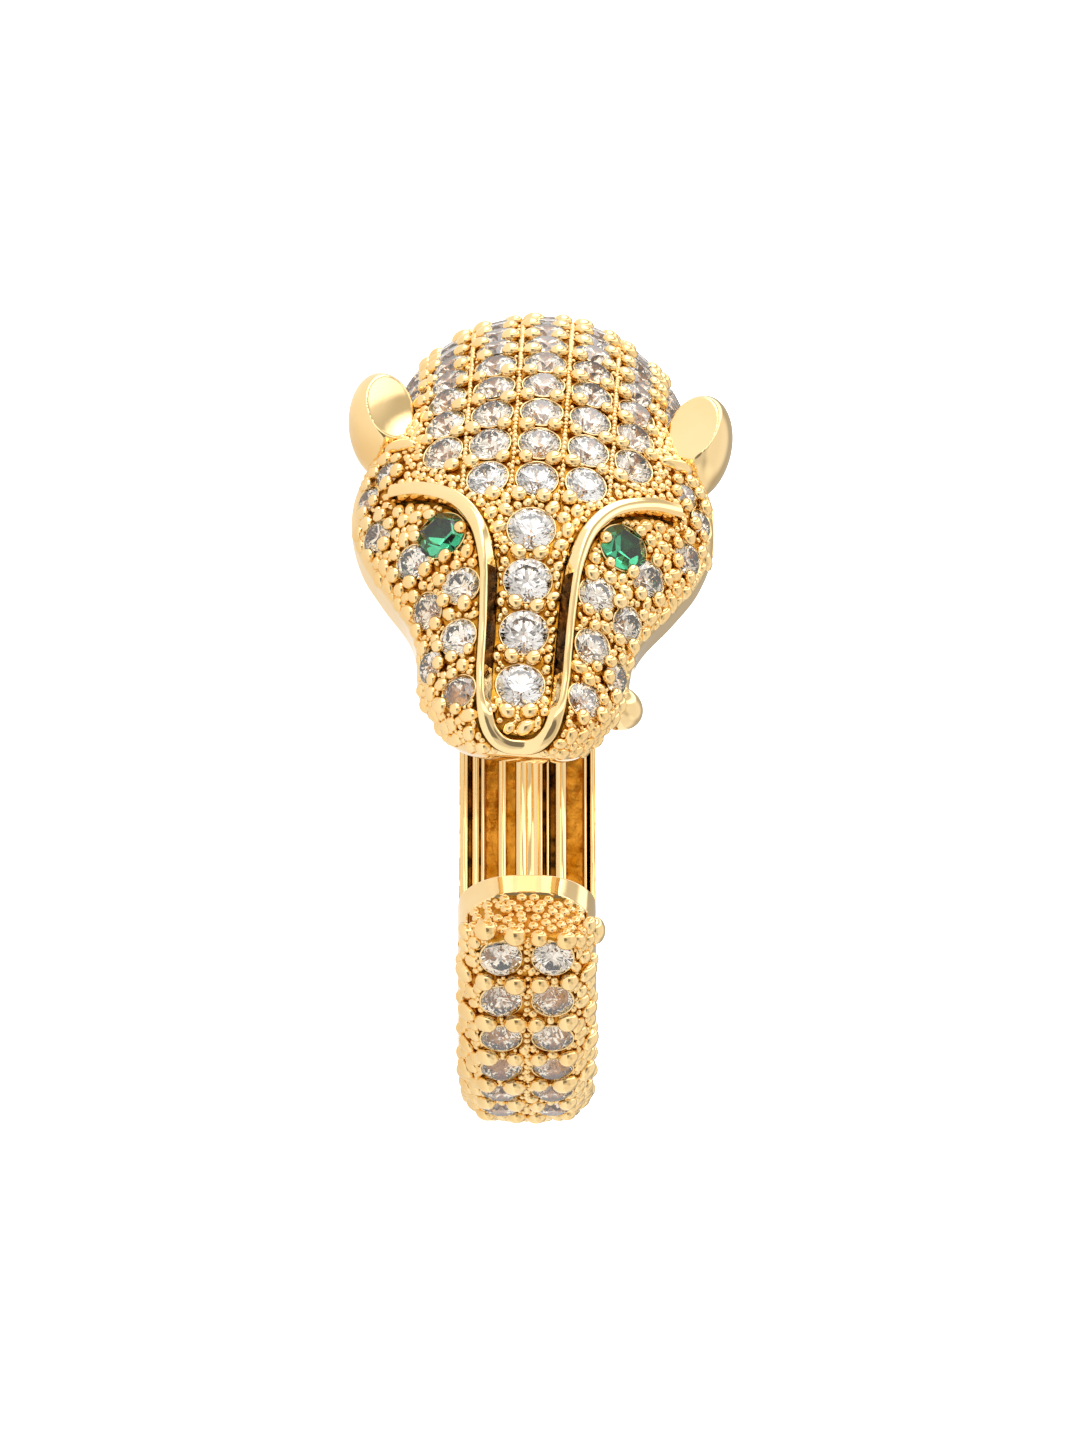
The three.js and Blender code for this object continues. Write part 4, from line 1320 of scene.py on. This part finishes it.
def beads_around(diameter, placed):
    here = np.array(placed.translation)
    near = [o for o in stone_spots if np.linalg.norm(o[0] - here) > 1e-6]
    start, frames = rng.uniform(0, SPOT_TURN), []
    for k in range(SPOTS):
        turn = math.radians(start + SPOT_TURN * k + rng.normal(0, CHEEK_BEAD["strays"]))
        radius = rng.uniform(*CHEEK_BEAD["radius"])
        away = diameter / 2 + BESIDE * radius
        point = placed @ Vector((away * math.cos(turn), away * math.sin(turn), 0))
        if is_free(point, radius, near):
            place = placed.copy()
            place.translation = point
            stretch = rng.uniform(*CHEEK_BEAD["width"])
            frames.append(stand_bead(place, radius, squash=PRESSED, turn=rng.uniform(0, 180),
                                     stretch=stretch))
    return frames


cheek_beads = []
for side in SIDES.values():
    place = on_face(side * EYE_BEAD["across"], EYE_BEAD["up"])
    cheek_beads.append(stand_bead(place, EYE_BEAD["radius"], lift=EYE_BEAD["lift"]))
for node, _, diameter, placed in stones:
    if node and node.startswith(("cheek", "eye")):
        cheek_beads += beads_around(diameter, placed)
finish_beads("cheek_beads", bead, cheek_beads)
print(len(standing), "large beads")

# %% [markdown]
# What is left of the field between stones and beads is filled with ever smaller grains, the leftovers of
# the wax modelling. Random spots are tried with the largest size first, and a grain stands wherever it
# finds room.

# %% Fill the field with grains
GRAIN_SIZES = (0.23, 0.18, 0.14, 0.105, 0.085, 0.065)
GRAIN_LIFT, GRAIN_WIDTH = -0.2, (1.0, 1.5)  # shares of its radius: how far it stands out, how wide it is
OVERLAP = 0.03  # mm by which a grain may run into what is beside it
FAR = 9.0  # mm, more than any free distance
EAR_ROOM = 0.1
CROWN_FROM = 34.0  # degrees, where the face ends and the crown starts
TAIL_GRAINS = (273.9, 327.5)  # degrees from and to


def taken():
    """Centre and radius of all that stands in the field."""
    lip = LIP["gap"] + LIP["thick"]
    return [(place, radius + lip) for place, radius in stone_spots] + rail_spots + standing


def ear_room(points):
    """A free distance to the ears, roughly."""
    least, size = np.full(len(points), FAR), EAR_LOBE["size"]
    for side in SIDES.values():
        local = apply(ear_place(EAR_LOBE, side).inverted(), points) / np.array(size)
        least = np.minimum(least, (np.linalg.norm(local, axis=1) - 1) * min(size))
    return least


def fill(points, others, sizes):
    """Chooses points and radii so that grains fill the room between the others."""
    free = np.full(len(points), FAR)
    for place, radius in others:
        np.minimum(free, np.linalg.norm(points - place, axis=1) - radius, out=free)
    chosen = []
    for size in sizes:
        for i in np.flatnonzero(free >= size - OVERLAP):
            if free[i] >= size - OVERLAP:
                chosen.append((i, size))
                np.minimum(free, np.linalg.norm(points - points[i], axis=1) - size, out=free)
    return chosen


def spread(table, start, stop, tries, margin):
    """Random spots on a form, as angle and across, with a margin in millimetres along its edges."""
    deg = rng.uniform(start, stop, tries)
    half = read(table, deg)["half"] - margin
    across = rng.uniform(-1, 1, tries) * half.max()
    keep = np.abs(across) < half
    return deg[keep], across[keep]


def grains(name, table, spots, sizes=GRAIN_SIZES):
    deg, across = spots
    points = surface_point(table, deg, across)
    if table is HEAD:
        points = apply(head_to_ring, points)
        clear = ear_room(points) > EAR_ROOM
        deg, across, points = deg[clear], across[clear], points[clear]
    on_form, frames = on_head if table is HEAD else on_band, []
    for i, size in fill(points, taken(), sizes):
        place = on_form(float(deg[i]), float(across[i]))
        frames.append(stand_bead(place, size, lift=GRAIN_LIFT, stretch=rng.uniform(*GRAIN_WIDTH),
                                 turn=rng.uniform(0, 180)))
    print(len(frames), "grains in", name)
    finish_beads(name, grain, frames)


face = spread(HEAD, HEAD_FIELD["start"] + 0.5, CROWN_FROM, tries=20000, margin=0.08)
grains("head_grains", HEAD, face)
crown = spread(HEAD, CROWN_FROM, HEAD_FIELD["stop"], tries=14000, margin=0.2)
grains("crown_grains", HEAD, crown, GRAIN_SIZES[2:])
tail = spread(BAND, *TAIL_GRAINS, tries=10000, margin=0.16)
grains("tail_grains", BAND, tail)

# %% [markdown]
# The sunk field at the tail's end is left as the mould made it, with five larger beads and grains of three
# sizes strewn between them. They stand out of the end's face, so they need a frame of its own.

# %% Beads and grains on the tail's end
END_BEADS = (  # across, radius from the finger's axis, radius of the bead
    (-0.6, 10.6, 0.19), (0.33, 10.65, 0.2), (-0.13, 11.2, 0.16), (-1.15, 11.0, 0.15), (0.95, 10.9, 0.16))
END_TRIES = 1500
END_ROOM = {"across": 1.6, "low": 0.1, "high": 11.9, "top": 0.15}


def on_end(across, radius):
    """A frame on the sunk field of the tail's end, Z out of it."""
    deg = tail_end(across, slice_at(BAND, TAIL_SECTION)["half"]) - math.degrees(END_FIELD["depth"] / radius)
    right, along = Vector((1, 0, 0)), Vector(polar(0, 1, deg + 90))
    placed = Matrix((right, along.cross(right), along)).transposed().to_4x4()
    placed.translation = Vector(polar(across, radius, deg))
    return placed


end_beads = [stand_bead(on_end(across, radius), size) for across, radius, size in END_BEADS]
finish_beads("end_beads", bead, end_beads)
across = rng.uniform(-END_ROOM["across"], END_ROOM["across"], END_TRIES)
radius = rng.uniform(END_FIELD["from"] + END_ROOM["low"], END_ROOM["high"], END_TRIES)
keep = radius < surface_radius(BAND, np.full(END_TRIES, TAIL_SECTION), across) - END_ROOM["top"]
spots = [on_end(float(x), float(r)) for x, r in zip(across[keep], radius[keep])]
chosen = fill(np.array([spot_frame.translation for spot_frame in spots]), taken(), GRAIN_SIZES[1:4])
end_grains = [stand_bead(spots[i], size, lift=0.0) for i, size in chosen]
finish_beads("end_grains", grain, end_grains)
print(len(end_beads), "beads and", len(end_grains), "grains on the tail's end")

# %% [markdown]
# ## Studio
# The studio's table is white, with soft light from all around. The camera looks straight into the ring's
# opening with the crown upwards, from just above the table. It stands far off with a long lens, as one does
# for jewellery, so that the near and the far parts of the ring show at about the same size.

# %% Camera
SENSOR = 24  # mm high
VIEW_DISTANCE = 400.0  # mm from the finger's axis
VIEW_FRONT = 6.0  # mm in front of the axis, where the view's height is measured
VIEW_HEIGHT = 42.73  # mm seen there from top to bottom
VIEW_CENTRE = (0.386, 0.0)


def place_camera():
    data = bpy.data.cameras.new("view")
    data.sensor_fit, data.sensor_height = "VERTICAL", SENSOR
    data.lens = SENSOR * (VIEW_DISTANCE - VIEW_FRONT) / VIEW_HEIGHT
    data.clip_start, data.clip_end = 0.01, 10
    camera = bpy.data.objects.new("view", data)
    bpy.context.collection.objects.link(camera)
    place = ring_to_world @ Vector((*VIEW_CENTRE, VIEW_DISTANCE))
    camera.matrix_world = Matrix.Translation(place) @ turned.to_4x4()
    bpy.context.scene.camera = camera
    print("a lens of", round(data.lens), "mm,", VIEW_DISTANCE, "mm from the ring")


place_camera()

# %% [markdown]
# The ring lies on opal acrylic that is lit from below, as small polished things often are, because it leaves
# hardly any shadow. It glows evenly. What the camera sees of it directly is brighter than what it gives to
# the ring, because a floor bright enough to look white would also wash out the dark reflections in the gold.

# %% Light table
TABLE_GLOW = 0.55
TABLE_SEEN = 0.9  # what the glowing table adds where the camera looks straight at it
TABLE_SIZE = 1.8  # m
ACRYLIC = {"tint": "#BDBDBD", "roughness": 0.9, "tooth": 0.4}  # tooth: mm between the grains of its matt skin


def make_table():
    deselect()
    bpy.ops.mesh.primitive_plane_add(size=TABLE_SIZE)
    table = bpy.context.object
    table.name = "light_table"
    material, tree, shader = new_material("opal_acrylic_light_table")
    place = add(tree, "ShaderNodeTexCoord").outputs["Object"]
    tooth = add(tree, "ShaderNodeTexNoise", {"Scale": 1 / (ACRYLIC["tooth"] * MM)}, {"Vector": place})
    bump = add(tree, "ShaderNodeBump", {"Strength": 0.02, "Distance": 0.01 * MM},
               {"Height": tooth.outputs["Fac"]})
    shader.inputs["Base Color"].default_value = linear(ACRYLIC["tint"])
    shader.inputs["Roughness"].default_value = ACRYLIC["roughness"]
    shader.inputs["Emission Color"].default_value = linear("#FFFFFF")
    shader.inputs["Emission Strength"].default_value = TABLE_GLOW
    tree.links.new(bump.outputs["Normal"], shader.inputs["Normal"])
    seen = add(tree, "ShaderNodeLightPath").outputs["Is Camera Ray"]
    glow = add(tree, "ShaderNodeMath", {1: TABLE_SEEN}, {0: seen}, operation="MULTIPLY")
    extra = add(tree, "ShaderNodeEmission", links={"Strength": glow.outputs[0]})
    both = add(tree, "ShaderNodeAddShader", links={0: shader.outputs[0], 1: extra.outputs[0]})
    tree.links.new(both.outputs[0], tree.nodes["Material Output"].inputs["Surface"])
    table.data.materials.append(material)
    table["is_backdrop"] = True
    print(table.name, "of", material.name)


make_table()

# %% [markdown]
# A small card of light inside the finger hole brightens the channels behind the opening, which the head and
# the tail keep in the dark.

# %% Small card of light in the finger hole
HOLE_CARD = {"place": (0.0, 7.2, 0.5), "size": (6.0, 8.0), "power": 0.00017}


def make_hole_card():
    data = bpy.data.lights.new("hole_card", "AREA")
    data.shape = "RECTANGLE"
    data.size, data.size_y = (v * MM for v in HOLE_CARD["size"])
    data.energy = HOLE_CARD["power"]
    card = bpy.data.objects.new("hole_card", data)
    card.matrix_world = (Matrix.Translation(ring_to_world @ Vector(HOLE_CARD["place"])) @ turned.to_4x4()
                         @ Matrix.Rotation(math.radians(-90), 4, "X"))
    bpy.context.collection.objects.link(card)
    print(card.name, "of", HOLE_CARD["size"], "mm")


make_hole_card()

# %% [markdown]
# Polished metal shows nothing but what is around it. A plain white surrounding would make it look flat, so
# there are soft boxes with gaps between them, and a dark flag in front of the ring. They are worked out from
# the direction alone, in the ring's own frame, so they cost no geometry and turn with the ring.

# %% Soft boxes and flags around the ring
TENT, TENT_TINT = 0.46, "#FFF7EB"
LAMPS = (  # axis of the ring frame, where along it the light starts and is full, how much brighter it gets
    ("Y", 0.40, 0.48, 1.2),
    ("Y", 0.60, 0.68, -1.0),  # the gap between two boxes
    ("Y", 0.78, 0.86, 2.4),
    ("Y", -0.45, -0.8, 0.5),
    ("X", 0.60, 0.85, 0.5),
    ("X", -0.60, -0.85, 0.25),
    ("Z", 0.0, -0.4, 0.05),
    ("Z", 0.45, 0.8, 0.3),
)
FLAG_WIDTH, FLAG_HEIGHT, FLAG_SHADE = 0.4, 0.34, 0.3
FLAG_EDGE = (0.8, 1.05)  # where the flag starts to give way to the light, and has


def make_world():
    world = bpy.data.worlds.new("studio")
    world.use_nodes = True
    tree = world.node_tree
    ray = add(tree, "ShaderNodeTexCoord").outputs["Generated"]
    seen_from_ring = add(tree, "ShaderNodeMapping", {"Rotation": turned.to_euler()}, {"Vector": ray},
                         vector_type="TEXTURE").outputs["Vector"]
    split = add(tree, "ShaderNodeSeparateXYZ", links={"Vector": seen_from_ring})
    total = None
    for axis, start, full, power in LAMPS:
        lamp = add(tree, "ShaderNodeMapRange", {"From Min": start, "From Max": full, "To Max": power},
                   {"Value": split.outputs[axis]}, interpolation_type="SMOOTHSTEP").outputs["Result"]
        total = lamp if total is None else add(tree, "ShaderNodeMath", links={0: lamp, 1: total}).outputs[0]
    reach = add(tree, "ShaderNodeVectorMath", {1: (1 / FLAG_WIDTH, 1 / FLAG_HEIGHT, 0)}, {0: seen_from_ring},
                operation="MULTIPLY")
    edge = add(tree, "ShaderNodeVectorMath", links={0: reach.outputs["Vector"]}, operation="LENGTH")
    behind = add(tree, "ShaderNodeMapRange", {"From Min": 0.1, "From Max": -0.1, "To Max": 1.0},
                 {"Value": split.outputs["Z"]})
    edge = add(tree, "ShaderNodeMath", links={0: edge.outputs["Value"], 1: behind.outputs["Result"]})
    flag = add(tree, "ShaderNodeMapRange",
               {"From Min": FLAG_EDGE[0], "From Max": FLAG_EDGE[1], "To Min": FLAG_SHADE},
               {"Value": edge.outputs[0]}, interpolation_type="SMOOTHSTEP").outputs["Result"]
    lit = add(tree, "ShaderNodeMath", links={0: total, 1: flag}, operation="MULTIPLY")
    background = tree.nodes["Background"]
    background.inputs["Color"].default_value = (1, 1, 1, 1)
    tree.links.new(lit.outputs[0], background.inputs["Strength"])
    walls = add(tree, "ShaderNodeMath", {1: TENT}, {0: flag}, operation="MULTIPLY")
    tent = add(tree, "ShaderNodeBackground", {"Color": linear(TENT_TINT)}, {"Strength": walls.outputs[0]})
    around = add(tree, "ShaderNodeAddShader", links={0: background.outputs[0], 1: tent.outputs[0]})
    backdrop = add(tree, "ShaderNodeBackground", {"Color": (1, 1, 1, 1), "Strength": 1.0})
    seen = add(tree, "ShaderNodeLightPath").outputs["Is Camera Ray"]
    mixed = add(tree, "ShaderNodeMixShader", links={0: seen, 1: around.outputs[0], 2: backdrop.outputs[0]})
    tree.links.new(mixed.outputs[0], tree.nodes["World Output"].inputs["Surface"])
    bpy.context.scene.world = world
    print(world.name, "with", len(LAMPS), "steps of light")


make_world()
bpy.context.scene.view_settings.view_transform = "Standard"

# %% [markdown]
# ## Measure and finish
# The box around the dressed ring is kept beside that of the solids.

# %% Finish
size = {"cad": [list(corner) for corner in cad_bounds], "visual": [list(corner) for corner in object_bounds()]}
